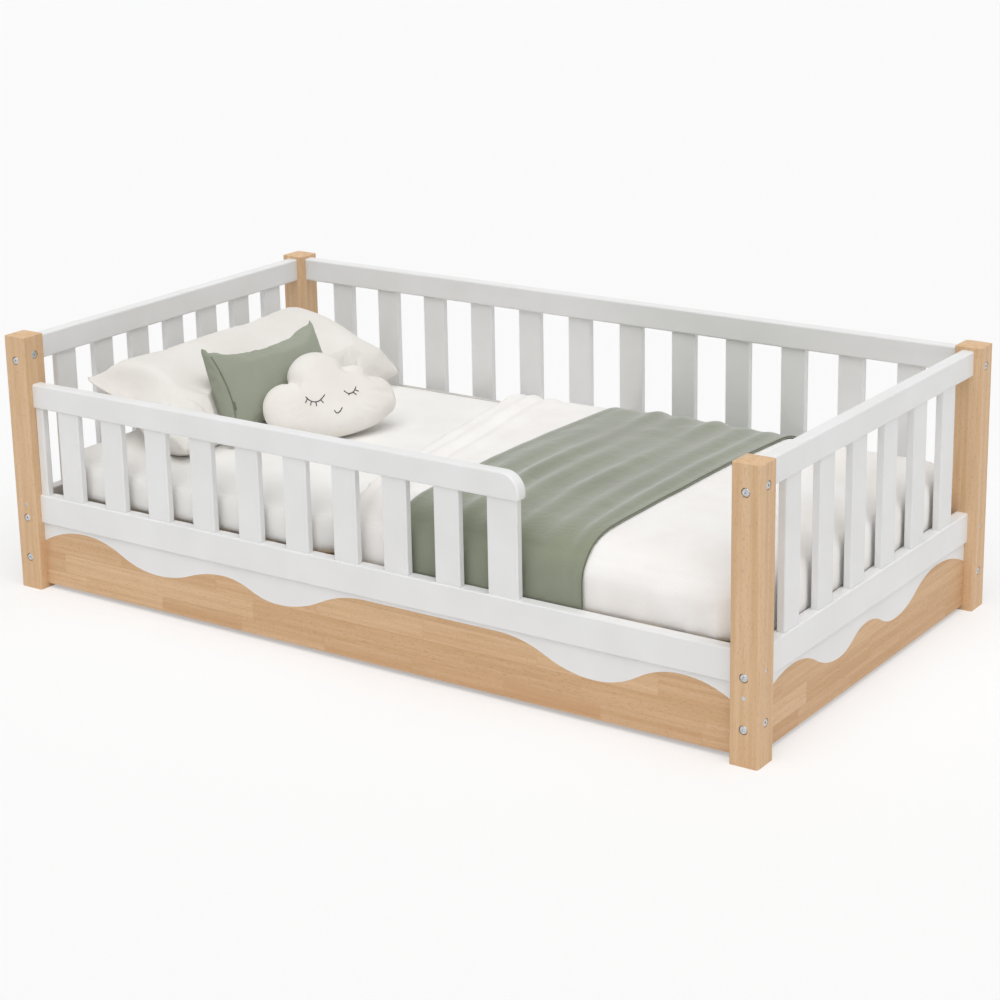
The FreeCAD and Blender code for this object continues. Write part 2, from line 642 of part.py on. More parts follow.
INNER_LENGTH = f"(bed_length - 2 * {RAIL_BACK})"
INNER_WIDTH = f"(bed_width - 2 * {RAIL_BACK})"
BOARD_GAP = f"(({INNER_LENGTH} - base_boards * base_board_width) / (base_boards + 1))"
boards = new_body("base_slats")
sketch = sketch_on(boards, "XY_Plane", LEDGER_TOP)
left, low = f"({BOARD_GAP} - {INNER_LENGTH} / 2)", f"(base_play - {INNER_WIDTH} / 2)"
outline(sketch, rectangle(left, low, f"({left} + base_board_width)", f"(-{low})"))
slat = pad(boards, sketch, "base_board")
repeat(boards, slat, sketch, "base_boards", f"({BOARD_GAP} + base_board_width)")

STRAP_END = f"({INNER_LENGTH} / 2 - {BOARD_GAP})"
for name, sign in (("front", "-"), ("back", "")):
    strap = new_body(f"base_strap_{name}")
    sketch = sketch_on(strap, "XY_Plane", BASE_TOP)
    middle = f"({sign}(bed_width / 2 - strap_inset))"
    outline(sketch, rectangle(f"(-{STRAP_END})", f"({middle} - strap_width / 2)", STRAP_END,
                              f"({middle} + strap_width / 2)"))
    pad(strap, sketch, "strap_thick")


# Fasteners. One bolt, nut, dowel or screw is drawn along its own +Z, which points out of the
# face it enters, and its group is that shape copied to each place where it is fitted.
def turned_solid(profile):
    """A solid turned about Z from (radius, height) points."""
    points = [V(radius, 0, height) for radius, height in profile]
    face = Part.Face(Part.makePolygon(points + [points[0]]))
    return face.revolve(V(), V(0, 0, 1), 360)


def bolt_shape(shank):
    radius, head = value("bolt_size / 2"), value("bolt_head / 2")
    seat_level = -value("head_sink")
    top = seat_level + value("head_height")
    body = turned_solid([(0, seat_level - shank), (radius, seat_level - shank),
                         (radius, seat_level), (head, seat_level),
                         (head, top - value("head_dome_rise")),
                         (head - value("head_dome_width"), top), (0, top)])
    flat_to_corner = value("hex_key / 2") / math.cos(math.pi / 6)
    corners = [V(flat_to_corner * math.cos(math.radians(60 * turn)),
                 flat_to_corner * math.sin(math.radians(60 * turn)), top)
               for turn in range(7)]
    socket = Part.Face(Part.makePolygon(corners)).extrude(V(0, 0, -value("hex_deep")))
    return body.cut(socket)


def nut_shape():
    """A barrel nut that lies along +Z, with its cross hole along X."""
    length = value("nut_length")
    barrel = Part.makeCylinder(value("nut_size / 2"), length, V(0, 0, -length / 2))
    hole = Part.makeCylinder(value("bolt_size / 2 + nut_fit / 2"), value("2 * nut_size"),
                             V(-value("nut_size"), 0, 0), V(1, 0, 0))
    return barrel.cut(hole)


def screw_shape(shank, size, head, sink):
    top = -value("screw_head_inset")
    return turned_solid([(0, -shank), (size / 2, size - shank), (size / 2, -sink),
                         (head / 2, -sink), (head / 2, top), (0, top)])


def group(label, copies):
    feature = doc.addObject("Part::Feature", label)
    feature.Label = label
    feature.Shape = Part.Compound(copies)
    NODES[label] = feature


def local_to_row(corner, point, direction):
    """A place on a post, given in its local frame, as a placement that points outwards."""
    x, y, turn = CORNERS[corner]
    frame = FreeCAD.Placement(V(value(x), value(y), 0), FreeCAD.Rotation(V(0, 0, 1), turn))
    aim = FreeCAD.Rotation(V(0, 0, 1), direction)
    return frame.multiply(FreeCAD.Placement(point, aim))


def set_at(shape, placement):
    copy = shape.copy()
    copy.Placement = placement
    return copy


line, size_of_post = value(BOLT_LINE), value("post_size")
shank = value(f"post_size - head_sink + {SHANK_DEPTH} - nut_fit")
full_bolt, cover_bolt = bolt_shape(shank), bolt_shape(value("cover_bolt_length"))
nut, dowel_radius = nut_shape(), value("dowel_size / 2")
dowel_length = value("2 * dowel_reach")
dowel = Part.makeCylinder(dowel_radius, dowel_length, V(0, 0, -dowel_length / 2))
screw = screw_shape(value("post_size + screw_reach"), value("screw_size"),
                    value("screw_head"), value("screw_sink"))
lying_nut = (HEAD_MID_BOLT, FOOT_MID_BOLT, LONG_LOW_BOLT, SHORT_LOW_BOLT)
long_bolts, short_bolts, nuts, dowels, screws = [], [], [], [], []
for corner, (along_x, along_y, dowels_x, dowels_y) in POST_DRILLING.items():
    turned_by_quarter = CORNERS[corner][2] in (90, 270)
    for drilling, pegs, out, inward in (
            (along_x, dowels_x, V(-1, 0, 0), V(1, 0, 0)),
            (along_y, dowels_y, V(0, -1, 0), V(0, 1, 0))):
        runs_long = (out.x != 0) != turned_by_quarter
        across = V(0, line, 0) if out.x else V(line, 0, 0)
        depth_axis = V(0, 1, 0) if out.x else V(1, 0, 0)
        for height in drilling["bolts"]:
            level = V(0, 0, value(height))
            place = local_to_row(corner, across + level, out)
            (long_bolts if runs_long else short_bolts).append(set_at(full_bolt, place))
            reach = inward * (size_of_post + value("nut_reach"))
            stand = V(0, 0, 1) if height not in lying_nut else depth_axis
            x, y, turn = CORNERS[corner]
            frame = FreeCAD.Placement(V(value(x), value(y), 0),
                                      FreeCAD.Rotation(V(0, 0, 1), turn))
            aim = FreeCAD.Rotation(inward, stand.cross(inward), stand, "ZXY")
            nuts.append(set_at(nut, frame.multiply(
                FreeCAD.Placement(across + level + reach, aim))))
        for height in drilling["screws"]:
            place = local_to_row(corner, across + V(0, 0, value(height)), out)
            screws.append(set_at(screw, place))
        for height in pegs:
            spot = across + inward * size_of_post + V(0, 0, value(height))
            dowels.append(set_at(dowel, local_to_row(corner, spot, out)))

covers = []
for corner, point, out in (("post_front_head", V(size_of_post, line, 0), V(1, 0, 0)),
                           ("post_front_foot", V(line, 0, 0), V(0, -1, 0))):
    place = local_to_row(corner, point + V(0, 0, value(LONG_TOP_BOLT)), out)
    covers.append(set_at(cover_bolt, place))

group("bolts_long_sides", long_bolts)
group("bolts_short_sides", short_bolts)
group("cover_bolts", covers)
group("barrel_nuts", nuts)
group("rail_dowels", dowels)
group("rail_screws", screws)

ledger_screw = screw_shape(value("ledger_thick + ledger_bite"), value("ledger_screw_size"),
                           value("ledger_screw_head"), value("screw_sink"))
holders = []
for side, facing in ((-1, 1), (1, -1)):
    inner = side * value(f"bed_width / 2 - {RAIL_BACK} - ledger_thick")
    for share, height in ledger_screw_spots():
        middle = V(value(f"{share} - {LONG_SPAN} / 2"), inner, value(height))
        aim = FreeCAD.Rotation(V(0, 0, 1), V(0, facing, 0))
        holders.append(set_at(ledger_screw, FreeCAD.Placement(middle, aim)))
group("ledger_screws", holders)


# Mattress: a foam core in a fitted sheet, with soft round edges all over. It lies between
# the posts on the slatted base.
HALF_LONG = f"(bed_length / 2 - {RAIL_BACK} - mattress_end_gap)"
HALF_WIDE = f"(bed_width / 2 - {RAIL_BACK} - mattress_side_gap)"


def round_plan(half_length, half_width, corner):
    """A rectangle about the origin with round corners."""
    near_x, near_y = f"({half_length} - {corner})", f"({half_width} - {corner})"
    return [(near_x, f"(-{half_width})"), (half_length, f"(-{near_y})", corner, 1),
            (half_length, near_y), (near_x, half_width, corner, 1),
            (f"(-{near_x})", half_width), (f"(-{half_length})", near_y, corner, 1),
            (f"(-{half_length})", f"(-{near_y})"),
            (f"(-{near_x})", f"(-{half_width})", corner, 1)]


mattress = new_body("mattress")
sketch = sketch_on(mattress, "XY_Plane", MATTRESS_FLOOR)
outline(sketch, round_plan(HALF_LONG, HALF_WIDE, "mattress_round"))
pad(mattress, sketch, "mattress_thick")
round_edges(mattress, "mattress_edge", lambda edge: edge.BoundBox.ZLength < 1e-6)


# Duvet and throw: both follow one cross-section over the mattress. It rises from the tuck
# beside the mattress, rolls over the edge and crosses the bed on a very flat crown.
def drape(side_gap, top_gap, front_foot, back_foot):
    """Edges across the bed, from the front foot to the back one, of a cloth that lies at
    these gaps outside the mattress: side, roll, crown, roll, side."""
    half = value(HALF_WIDE) + side_gap
    roll, sag = value("duvet_roll"), value("duvet_crown")
    roof = value(MATTRESS_TOP) + top_gap + sag
    near = half - roll
    reach = (near ** 2 + sag ** 2) / (2 * sag)
    centre = roof - reach - roll
    roll_level = centre + math.sqrt(reach ** 2 - near ** 2)
    lean = math.atan2(near, roll_level - centre)
    halfway = (1.5 * math.pi + lean) / 2
    on_roll = [V(0, roll * math.cos(angle) - near, roll * math.sin(angle) + roll_level)
               for angle in (math.pi, halfway, math.pi / 2 + lean)]
    across = [V(0, -point.y, point.z) for point in reversed(on_roll)]
    return [Part.makeLine(V(0, -half, front_foot), on_roll[0]),
            Part.Arc(*on_roll).toShape(),
            Part.Arc(on_roll[2], V(0, 0, roof), across[0]).toShape(),
            Part.Arc(*across).toShape(),
            Part.makeLine(across[2], V(0, half, back_foot))]


def soft(label, shape, placement=FreeCAD.Placement()):
    feature = doc.addObject("Part::Feature", label)
    feature.Label = label
    feature.Shape = shape
    feature.Placement = placement
    NODES[label] = feature


def extrusion(points, way):
    return Part.Face(Part.makePolygon(points + [points[0]])).extrude(way)


def rounded_slab(half_length, half_width, corner, low, high, edge):
    """A flat block with round corners in plan and round edges above and below."""
    block = Part.makeBox(2 * half_length, 2 * half_width, high - low,
                         V(-half_length, -half_width, low))
    uprights = [item for item in block.Edges if item.BoundBox.ZLength > 1]
    block = block.makeFillet(corner, uprights)
    rims = [item for item in block.Edges if item.BoundBox.ZLength < 1e-6]
    return block.makeFillet(edge, rims)


gap, roof = value("soft_gap"), value(MATTRESS_TOP)
half_long, half_wide = value(HALF_LONG), value(HALF_WIDE)
tuck = value("mid_top - duvet_tuck")
overhang = value("duvet_side")
section = drape(overhang, value("duvet_thick"), tuck, tuck)
section.append(Part.makeLine(section[-1].Vertexes[1].Point, section[0].Vertexes[0].Point))
block = Part.Face(Part.Wire(section)).extrude(V(2 * half_long, 0, 0))
block.translate(V(overhang - half_long, 0, 0))

# The duvet's foot end rolls over too, its plan corners are round, and its upper edge, turned
# towards the pillow, crosses the bed aslant.
foot_x, crest = half_long + overhang, roof + value("duvet_thick + duvet_crown")
roll = value("duvet_roll")
foot_roll = Part.Wire([
    Part.makeLine(V(-half_long, 0, tuck), V(foot_x, 0, tuck)),
    Part.makeLine(V(foot_x, 0, tuck), V(foot_x, 0, crest - roll)),
    Part.Arc(V(foot_x, 0, crest - roll),
             V(foot_x - roll + roll * math.sqrt(0.5), 0, crest - roll + roll * math.sqrt(0.5)),
             V(foot_x - roll, 0, crest)).toShape(),
    Part.makeLine(V(foot_x - roll, 0, crest), V(-half_long, 0, crest)),
    Part.makeLine(V(-half_long, 0, crest), V(-half_long, 0, tuck))])
side_view = Part.Face(foot_roll).extrude(V(0, 4 * half_wide, 0))
side_view.translate(V(0, -2 * half_wide, 0))
plan = rounded_slab(half_long + overhang, half_wide + overhang,
                    value("mattress_round") + overhang, tuck - roll, crest + roll, roll / 2)
edge_back = value("duvet_edge_back") - half_long
edge_front = value("duvet_edge_front") - half_long
outside = half_wide + overhang
slant = (edge_back - edge_front) / (2 * outside)
headward = extrusion([V(edge_front - outside * slant, -2 * outside, 0),
                      V(edge_back + outside * slant, 2 * outside, 0),
                      V(-2 * half_long, 2 * outside, 0), V(-2 * half_long, -2 * outside, 0)],
                     V(0, 0, 2 * crest))
mattress_space = rounded_slab(half_long + gap, half_wide + gap, value("mattress_round") + gap,
                              value(MATTRESS_FLOOR) - 2 * tuck, roof + gap,
                              value("mattress_edge") + gap)
duvet = block.common(side_view).common(plan).cut(headward).cut(mattress_space)
soft("duvet", duvet.Solids[0])

# Throw: a knitted blanket laid across the duvet, with soft folds that run across the bed. It
# goes over the front edge and down behind the middle rail.
throw_left = value("throw_start") - half_long
throw_foot = value("mid_top - throw_tuck")
throw_back = roof + value("duvet_thick - throw_back")
steps = 4 * int(value("throw_folds"))
sections = []
for index in range(steps + 1):
    lift = value("throw_lift") * (1 - math.cos(math.pi * index / 2)) / 2
    side_gap = overhang + gap + lift * value("throw_side_share")
    top_gap = value("duvet_thick") + gap + lift
    thick = value("throw_thick")
    inner = drape(side_gap, top_gap, throw_foot, throw_back)
    outer = drape(side_gap + thick, top_gap + thick, throw_foot, throw_back)
    hems = [Part.makeLine(V(0, side * (half_wide + side_gap), level),
                          V(0, side * (half_wide + side_gap + thick), level))
            for side, level in ((-1, throw_foot), (1, throw_back))]
    wire = Part.Wire(outer + [hems[1]] + inner[::-1] + [hems[0]])
    wire.translate(V(throw_left + value("throw_width") * index / steps, 0, 0))
    sections.append(wire)
soft("throw_blanket", Part.makeLoft(sections, True, False))


# Pillow and cushions: stuffed cases whose crown falls to a thin seam all round, drawn in
# between their corners. Local X runs along the width, Y up the case and Z out of its front,
# and the origin is the middle of the lower edge. The sections are shares of half the width.
CASE_SECTIONS = (-1, -0.86, -0.5, 0, 0.5, 0.86, 1)


def stuffed_case(width, height, thick, draw_in):
    seam = value("seam_thick / 2")
    wires = []
    for share in CASE_SECTIONS:
        along = share * width / 2
        pinch = draw_in * (1 - share ** 2)
        swell = max(thick / 2 * math.sqrt(1 - share ** 2), seam + 1)
        low, middle, high = pinch, height / 2, height - pinch
        front = [V(along, low, seam), V(along, middle, swell), V(along, high, seam)]
        back = [V(along, high, -seam), V(along, middle, -swell), V(along, low, -seam)]
        wires.append(Part.Wire([Part.Arc(*front).toShape(), Part.makeLine(front[2], back[0]),
                                Part.Arc(*back).toShape(), Part.makeLine(back[2], front[0])]))
    return Part.makeLoft(wires, True, False)


def stand_on_bed(label, shape, foot, side, lean, turn):
    """Stands a case on the mattress by its lowest point. Its foot is so far from the
    mattress's head end and to one side, and it leans from upright and is turned about Z."""
    tilt, swing = math.radians(value(lean)), math.radians(value(turn))
    width = V(math.sin(swing), math.cos(swing), 0)
    facing = V(math.cos(swing), -math.sin(swing), 0)
    up = V(0, 0, math.cos(tilt)) - facing * math.sin(tilt)
    base = V(value(foot) - half_long, value(side), roof + gap)
    placement = FreeCAD.Placement(base, FreeCAD.Rotation(width, up, width.cross(up), "ZXY"))
    placement.Base.z += roof + gap - set_at(shape, placement).optimalBoundingBox().ZMin
    soft(label, shape, placement)


case = stuffed_case(value("pillow_width"), value("pillow_height"), value("pillow_thick"),
                    value("pillow_pinch"))
stand_on_bed("pillow", case, "pillow_foot", "pillow_side", "pillow_lean", "pillow_turn")
case = stuffed_case(value("cushion_width"), value("cushion_height"), value("cushion_thick"),
                    value("cushion_pinch"))
stand_on_bed("cushion", case, "cushion_foot", "cushion_side", "cushion_lean", "cushion_turn")

# Cloud cushion: five lobes round a flat belly, each an arc between notches. Points are
# shares of the cushion's width and height, measured from the middle of its foot.
CLOUD = [((-0.36, 0.07), (-0.50, 0.33), (-0.26, 0.69)),
         ((-0.26, 0.69), (-0.01, 1.00), (0.18, 0.79)),
         ((0.18, 0.79), (0.27, 0.78), (0.36, 0.64)),
         ((0.36, 0.64), (0.50, 0.38), (0.41, 0.12)),
         ((0.41, 0.12), (0.04, 0.00), (-0.36, 0.07))]
CLOUD_LAYERS = [(-0.5, 0.60), (-0.42, 0.80), (-0.22, 0.95), (0, 1.0),
                (0.22, 0.95), (0.42, 0.80), (0.5, 0.60)]
CLOUD_CENTRE = 0.42


def cloud_case(width, height, thick):
    middle = CLOUD_CENTRE * height
    wires = []
    for share, scale in CLOUD_LAYERS:
        arcs = []
        for lobe in CLOUD:
            points = [V(x * width * scale, middle + (y * height - middle) * scale,
                        share * thick) for x, y in lobe]
            arcs.append(Part.Arc(*points).toShape())
        wires.append(Part.Wire(arcs))
    return Part.makeLoft(wires, True, False)


case = cloud_case(value("cloud_width"), value("cloud_height"), value("cloud_thick"))
stand_on_bed("cloud_cushion", case, "cloud_foot", "cloud_side", "cloud_lean", "cloud_turn")

doc.recompute()
for item in doc.Objects:
    if "Invalid" in item.State or "Error" in item.State:
        raise RuntimeError(f"{item.Name} did not recompute: {item.State}")
for label, item in NODES.items():
    if item.Shape.isNull() or not item.Shape.isValid():
        raise RuntimeError(f"{label} has no valid shape")

os.makedirs("parts", exist_ok=True)
for label, item in NODES.items():
    item.Shape.exportStep(f"parts/{label}.step")
print(len(NODES), "nodes written")
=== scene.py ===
import math

import bmesh
import bpy
from mathutils import Matrix, Vector, noise
from mathutils.bvhtree import BVHTree


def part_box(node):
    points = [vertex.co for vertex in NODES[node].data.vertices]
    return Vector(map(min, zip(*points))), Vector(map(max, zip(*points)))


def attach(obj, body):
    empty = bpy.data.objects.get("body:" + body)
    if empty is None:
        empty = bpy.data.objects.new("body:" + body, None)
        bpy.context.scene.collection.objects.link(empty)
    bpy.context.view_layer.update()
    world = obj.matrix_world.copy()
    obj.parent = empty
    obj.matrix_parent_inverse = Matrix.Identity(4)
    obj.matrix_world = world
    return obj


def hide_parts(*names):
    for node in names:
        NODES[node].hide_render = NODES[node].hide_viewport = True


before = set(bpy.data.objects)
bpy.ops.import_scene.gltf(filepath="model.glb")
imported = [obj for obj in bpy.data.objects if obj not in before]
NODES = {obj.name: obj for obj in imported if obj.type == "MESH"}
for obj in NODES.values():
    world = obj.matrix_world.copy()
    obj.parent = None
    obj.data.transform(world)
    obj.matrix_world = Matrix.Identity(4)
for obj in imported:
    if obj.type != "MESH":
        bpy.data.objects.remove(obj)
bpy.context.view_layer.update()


# Corner posts: solid beech, 55 mm square, planed, rounded and rubbed with a clear matt oil.
# They stand on the floor, and every rail and board is bolted to them. The wood is warm and
# pale, with upright growth lines and the short dark flecks that beech has.
BEECH = {"pale": "DEBC96", "mid": "D5AF86", "line": "C49A6E", "fleck": "B08A62"}
# Sizes are in metres. The fibres and flecks are drawn about twice as coarse as in real beech,
# so that they show.
RINGS = {"length": 0.60, "width": 0.010}
FIBRES = {"length": 0.060, "width": 0.0022}
FLECKS = {"length": 0.008, "width": 0.0016}
BARE_WOOD_ROUGHNESS, BARE_WOOD_IOR, BEECH_PORE_DEPTH = 0.55, 1.5, 0.0004


def linear(colour):
    """An sRGB hex value as linear red, green and blue, with an alpha of 1."""
    parts = [int(colour[start:start + 2], 16) / 255 for start in (0, 2, 4)]
    return [part / 12.92 if part <= 0.04045 else ((part + 0.055) / 1.055) ** 2.4
            for part in parts] + [1]


def add(tree, kind, inputs, out=0, to=None, stops=(), **settings):
    """Adds a node with its settings, sets or links its inputs, and returns an output."""
    node = tree.nodes.new(kind)
    for name, setting in settings.items():
        setattr(node, name, setting)
    for name, given in inputs.items():
        if isinstance(given, bpy.types.NodeSocket):
            tree.links.new(given, node.inputs[name])
        else:
            node.inputs[name].default_value = given
    for index, (position, colour) in enumerate(stops):
        element = node.color_ramp.elements[index]
        element.position, element.color = position, linear(colour)
    if to:
        tree.links.new(node.outputs[out], to)
    return node.outputs[out] if node.outputs else node


def new_finish(name, **surface):
    """A material with one Principled surface, its tree and its object coordinates."""
    material = bpy.data.materials.new(name)
    material.use_nodes = True
    tree = material.node_tree
    tree.nodes.clear()
    ending = add(tree, "ShaderNodeOutputMaterial", {})
    shader = add(tree, "ShaderNodeBsdfPrincipled",
                 {key.replace("_", " "): given for key, given in surface.items()},
                 to=ending.inputs["Surface"]).node
    return material, tree, shader, add(tree, "ShaderNodeTexCoord", {}, out="Object")


def drawn_out(grain, along):
    """A pattern's scale where it is this long along one axis and this wide across it."""
    scale = [1 / grain["width"]] * 3
    scale[along] = 1 / grain["length"]
    return scale


def beech_grain(tree, place, along):
    """Growth lines, fibres and flecks of planed beech, as a colour and a height."""
    noises = {}
    for name, grain, detail, twist in (("rings", RINGS, 2.0, 0.25), ("fibres", FIBRES, 1.0, 0),
                                       ("flecks", FLECKS, 0.0, 0)):
        way = add(tree, "ShaderNodeMapping", {"Vector": place,
                                              "Scale": drawn_out(grain, along)})
        noises[name] = add(tree, "ShaderNodeTexNoise",
                           {"Vector": way, "Scale": 1.0, "Detail": detail,
                            "Distortion": twist})
    body = add(tree, "ShaderNodeValToRGB", {"Fac": noises["rings"]},
               stops=[(0.36, BEECH["mid"]), (0.62, BEECH["pale"])])
    lines = add(tree, "ShaderNodeMapRange", {"Value": noises["fibres"], "From Min": 0.5,
                                             "From Max": 0.8, "To Max": 0.40})
    lined = add(tree, "ShaderNodeMix", {0: lines, 6: body, 7: linear(BEECH["line"])}, out=2,
                data_type="RGBA")
    dashes = add(tree, "ShaderNodeMapRange", {"Value": noises["flecks"], "From Min": 0.62,
                                              "From Max": 0.74, "To Max": 0.32})
    flecked = add(tree, "ShaderNodeMix", {0: dashes, 6: lined, 7: linear(BEECH["fleck"])},
                  out=2, data_type="RGBA")
    return flecked, noises["fibres"]


def planed_beech(name, along):
    """Sanded and oiled beech, its grain running along one axis."""
    material, tree, shader, place = new_finish(name, Roughness=BARE_WOOD_ROUGHNESS,
                                               IOR=BARE_WOOD_IOR)
    colour, height = beech_grain(tree, place, along)
    tree.links.new(colour, shader.inputs["Base Color"])
    add(tree, "ShaderNodeBump", {"Height": height, "Strength": 0.25,
                                 "Distance": BEECH_PORE_DEPTH}, to=shader.inputs["Normal"])
    return material


def dress(names, material):
    """Gives CAD nodes a finish."""
    for name in names:
        data = NODES[name].data
        data.materials.clear()
        data.materials.append(material)


dress(["post_front_head", "post_front_foot", "post_back_foot", "post_back_head"],
      planed_beech("oiled_beech_upright", along=2))


# Rails, slats, guard ends and aprons: beech bars and thin boards, filled, sanded and sprayed
# with white satin lacquer before the frames are glued. The coat is even and cool white, with
# a trace of the wood's grain drawn through it.
LACQUER = {"low": "E7E7E6", "high": "ECECEC"}
LACQUER_CLOUD, LACQUER_GRAIN = 0.11, {"length": 0.25, "width": 0.0035}
LACQUER_WAVE = 0.0005


def white_lacquer(name, along):
    """A sprayed satin coat: nearly even, with the wood's grain just raised under it."""
    material, tree, shader, place = new_finish(name, Roughness=0.40, IOR=1.48)
    cloud = add(tree, "ShaderNodeTexNoise", {"Vector": place, "Scale": 1 / LACQUER_CLOUD})
    add(tree, "ShaderNodeValToRGB", {"Fac": cloud}, to=shader.inputs["Base Color"],
        stops=[(0.3, LACQUER["low"]), (0.7, LACQUER["high"])])
    way = add(tree, "ShaderNodeMapping", {"Vector": place,
                                          "Scale": drawn_out(LACQUER_GRAIN, along)})
    grain = add(tree, "ShaderNodeTexNoise", {"Vector": way, "Scale": 1.0, "Detail": 2.0})
    add(tree, "ShaderNodeBump", {"Height": grain, "Strength": 0.12, "Distance": LACQUER_WAVE},
        to=shader.inputs["Normal"])
    return material


dress(["top_rail_back", "guard_rail", "mid_rail_front", "mid_rail_back", "apron_front",
       "apron_back"], white_lacquer("white_lacquer_long", along=0))
dress(["top_rail_head", "top_rail_foot", "mid_rail_head", "mid_rail_foot", "apron_head",
       "apron_foot"], white_lacquer("white_lacquer_short", along=1))
dress(["slats_guard", "slats_back", "slats_head", "slats_foot", "guard_batten",
       "guard_stile"], white_lacquer("white_lacquer_upright", along=2))


# Base boards: finger-jointed beech. Staves 41 mm high and up to 0.25 m long are glued into a
# panel, end to end and side by side, and the wave is sawn and sanded afterwards. Each stave
# has a tone and a grain of its own, and its end is a short zigzag joint.
STAVE_LENGTH, STAVE_HEIGHT, FINGER = 0.25, 0.041, 0.004
ROW_SHIFT, SHORT_STAVE, SHORT_ROW_EVERY = 0.37, 0.82, 3
GLUE_LINE, GLUE_WIDTH, GLUE_SHARE = "B58D64", 0.0004, 0.5
STAVE_TONES = ("F1E9E0", "FFFFFF")


def jointed_beech(name, along):
    """A panel of glued staves: the grain is read at a place of its own in each stave."""
    material, tree, shader, place = new_finish(name, Roughness=BARE_WOOD_ROUGHNESS,
                                               IOR=BARE_WOOD_IOR)
    parts = add(tree, "ShaderNodeSeparateXYZ", {"Vector": place}).node
    run, height = parts.outputs[along], parts.outputs[2]
    zigzag = add(tree, "ShaderNodeMath", {0: height, 1: FINGER}, operation="PINGPONG")
    joint = add(tree, "ShaderNodeMath", {0: run, 1: zigzag}, operation="ADD")
    flat = add(tree, "ShaderNodeCombineXYZ", {0: joint, 1: height})
    tone = add(tree, "ShaderNodeTexBrick",
               {"Vector": flat, "Color1": (0, 0, 0, 1), "Color2": (1, 1, 1, 1),
                "Mortar": (0.5, 0.5, 0.5, 1), "Scale": 1.0, "Mortar Size": GLUE_WIDTH,
                "Mortar Smooth": 0.2, "Brick Width": STAVE_LENGTH,
                "Row Height": STAVE_HEIGHT},
               offset=ROW_SHIFT, squash=SHORT_STAVE, squash_frequency=SHORT_ROW_EVERY)
    apart = add(tree, "ShaderNodeVectorMath", {0: place, 1: tone}, operation="ADD")
    colour, fibres = beech_grain(tree, apart, along)
    stain = add(tree, "ShaderNodeValToRGB", {"Fac": tone}, stops=zip((0.0, 1.0), STAVE_TONES))
    stained = add(tree, "ShaderNodeMix", {0: 1.0, 6: colour, 7: stain}, out=2,
                  data_type="RGBA", blend_type="MULTIPLY")
    glue = add(tree, "ShaderNodeMath", {0: tone.node.outputs["Fac"], 1: GLUE_SHARE},
               operation="MULTIPLY")
    add(tree, "ShaderNodeMix", {0: glue, 6: stained, 7: linear(GLUE_LINE)}, out=2,
        to=shader.inputs["Base Color"], data_type="RGBA")
    add(tree, "ShaderNodeBump", {"Height": fibres, "Strength": 0.2,
                                 "Distance": BEECH_PORE_DEPTH}, to=shader.inputs["Normal"])
    return material


dress(["base_board_front", "base_board_back"], jointed_beech("jointed_beech_long", along=0))
dress(["base_board_head", "base_board_foot"], jointed_beech("jointed_beech_short", along=1))


# Bolts, nuts and screws: cold-headed steel with bright zinc plate. The heads sit in round
# sinks in the posts, and the plate gives them a soft, slightly mottled shine. Its spangle is
# drawn 2.5 mm wide, coarser than the real one, so that it shows.
ZINC = {"dull": "B2B5B9", "bright": "D9DBDD"}
ZINC_SPANGLE, ZINC_ROUGHNESS = 0.0025, (0.22, 0.42)
zinc, tree, shader, place = new_finish("zinc_plated_steel", Metallic=1.0)
mottle = add(tree, "ShaderNodeTexNoise", {"Vector": place, "Scale": 1 / ZINC_SPANGLE,
                                          "Detail": 2.0})
add(tree, "ShaderNodeValToRGB", {"Fac": mottle}, to=shader.inputs["Base Color"],
    stops=[(0.35, ZINC["dull"]), (0.65, ZINC["bright"])])
add(tree, "ShaderNodeMapRange", {"Value": mottle, "To Min": ZINC_ROUGHNESS[0],
                                 "To Max": ZINC_ROUGHNESS[1]}, to=shader.inputs["Roughness"])
dress(["bolts_long_sides", "bolts_short_sides", "cover_bolts", "barrel_nuts", "rail_screws",
       "ledger_screws"], zinc)


# Slatted base: loose planed pine boards on two pine ledgers, with two woven webbing straps
# that keep them apart, and beech dowels inside the rails. Only a low view shows the boards.
PINE = {"late": "D8B47F", "early": "EBD4AC"}
PINE_RINGS, PINE_RING_DEPTH = {"length": 0.5, "width": 0.009}, 0.0005
# The webbing is darker in the valleys between its ribs: painted shade.
WEBBING, WEBBING_RIB, RIB_DEPTH = {"valley_painted_shade": "D8D5CC", "rib": "EFEDE6"}, 0.003, 0.0006


def planed_pine(name, along):
    """Planed softwood, its dark and pale rings drawn out along one axis."""
    material, tree, shader, place = new_finish(name, Roughness=0.6, IOR=BARE_WOOD_IOR)
    way = add(tree, "ShaderNodeMapping", {"Vector": place,
                                          "Scale": drawn_out(PINE_RINGS, along)})
    rings = add(tree, "ShaderNodeTexNoise", {"Vector": way, "Scale": 1.0, "Detail": 2.0,
                                             "Distortion": 0.4})
    add(tree, "ShaderNodeValToRGB", {"Fac": rings}, to=shader.inputs["Base Color"],
        stops=[(0.42, PINE["late"]), (0.60, PINE["early"])])
    add(tree, "ShaderNodeBump", {"Height": rings, "Strength": 0.2,
                                 "Distance": PINE_RING_DEPTH}, to=shader.inputs["Normal"])
    return material


def bands_scale(pitch):
    """A wave texture's scale where its bands are this far apart."""
    return math.pi / 10 / pitch


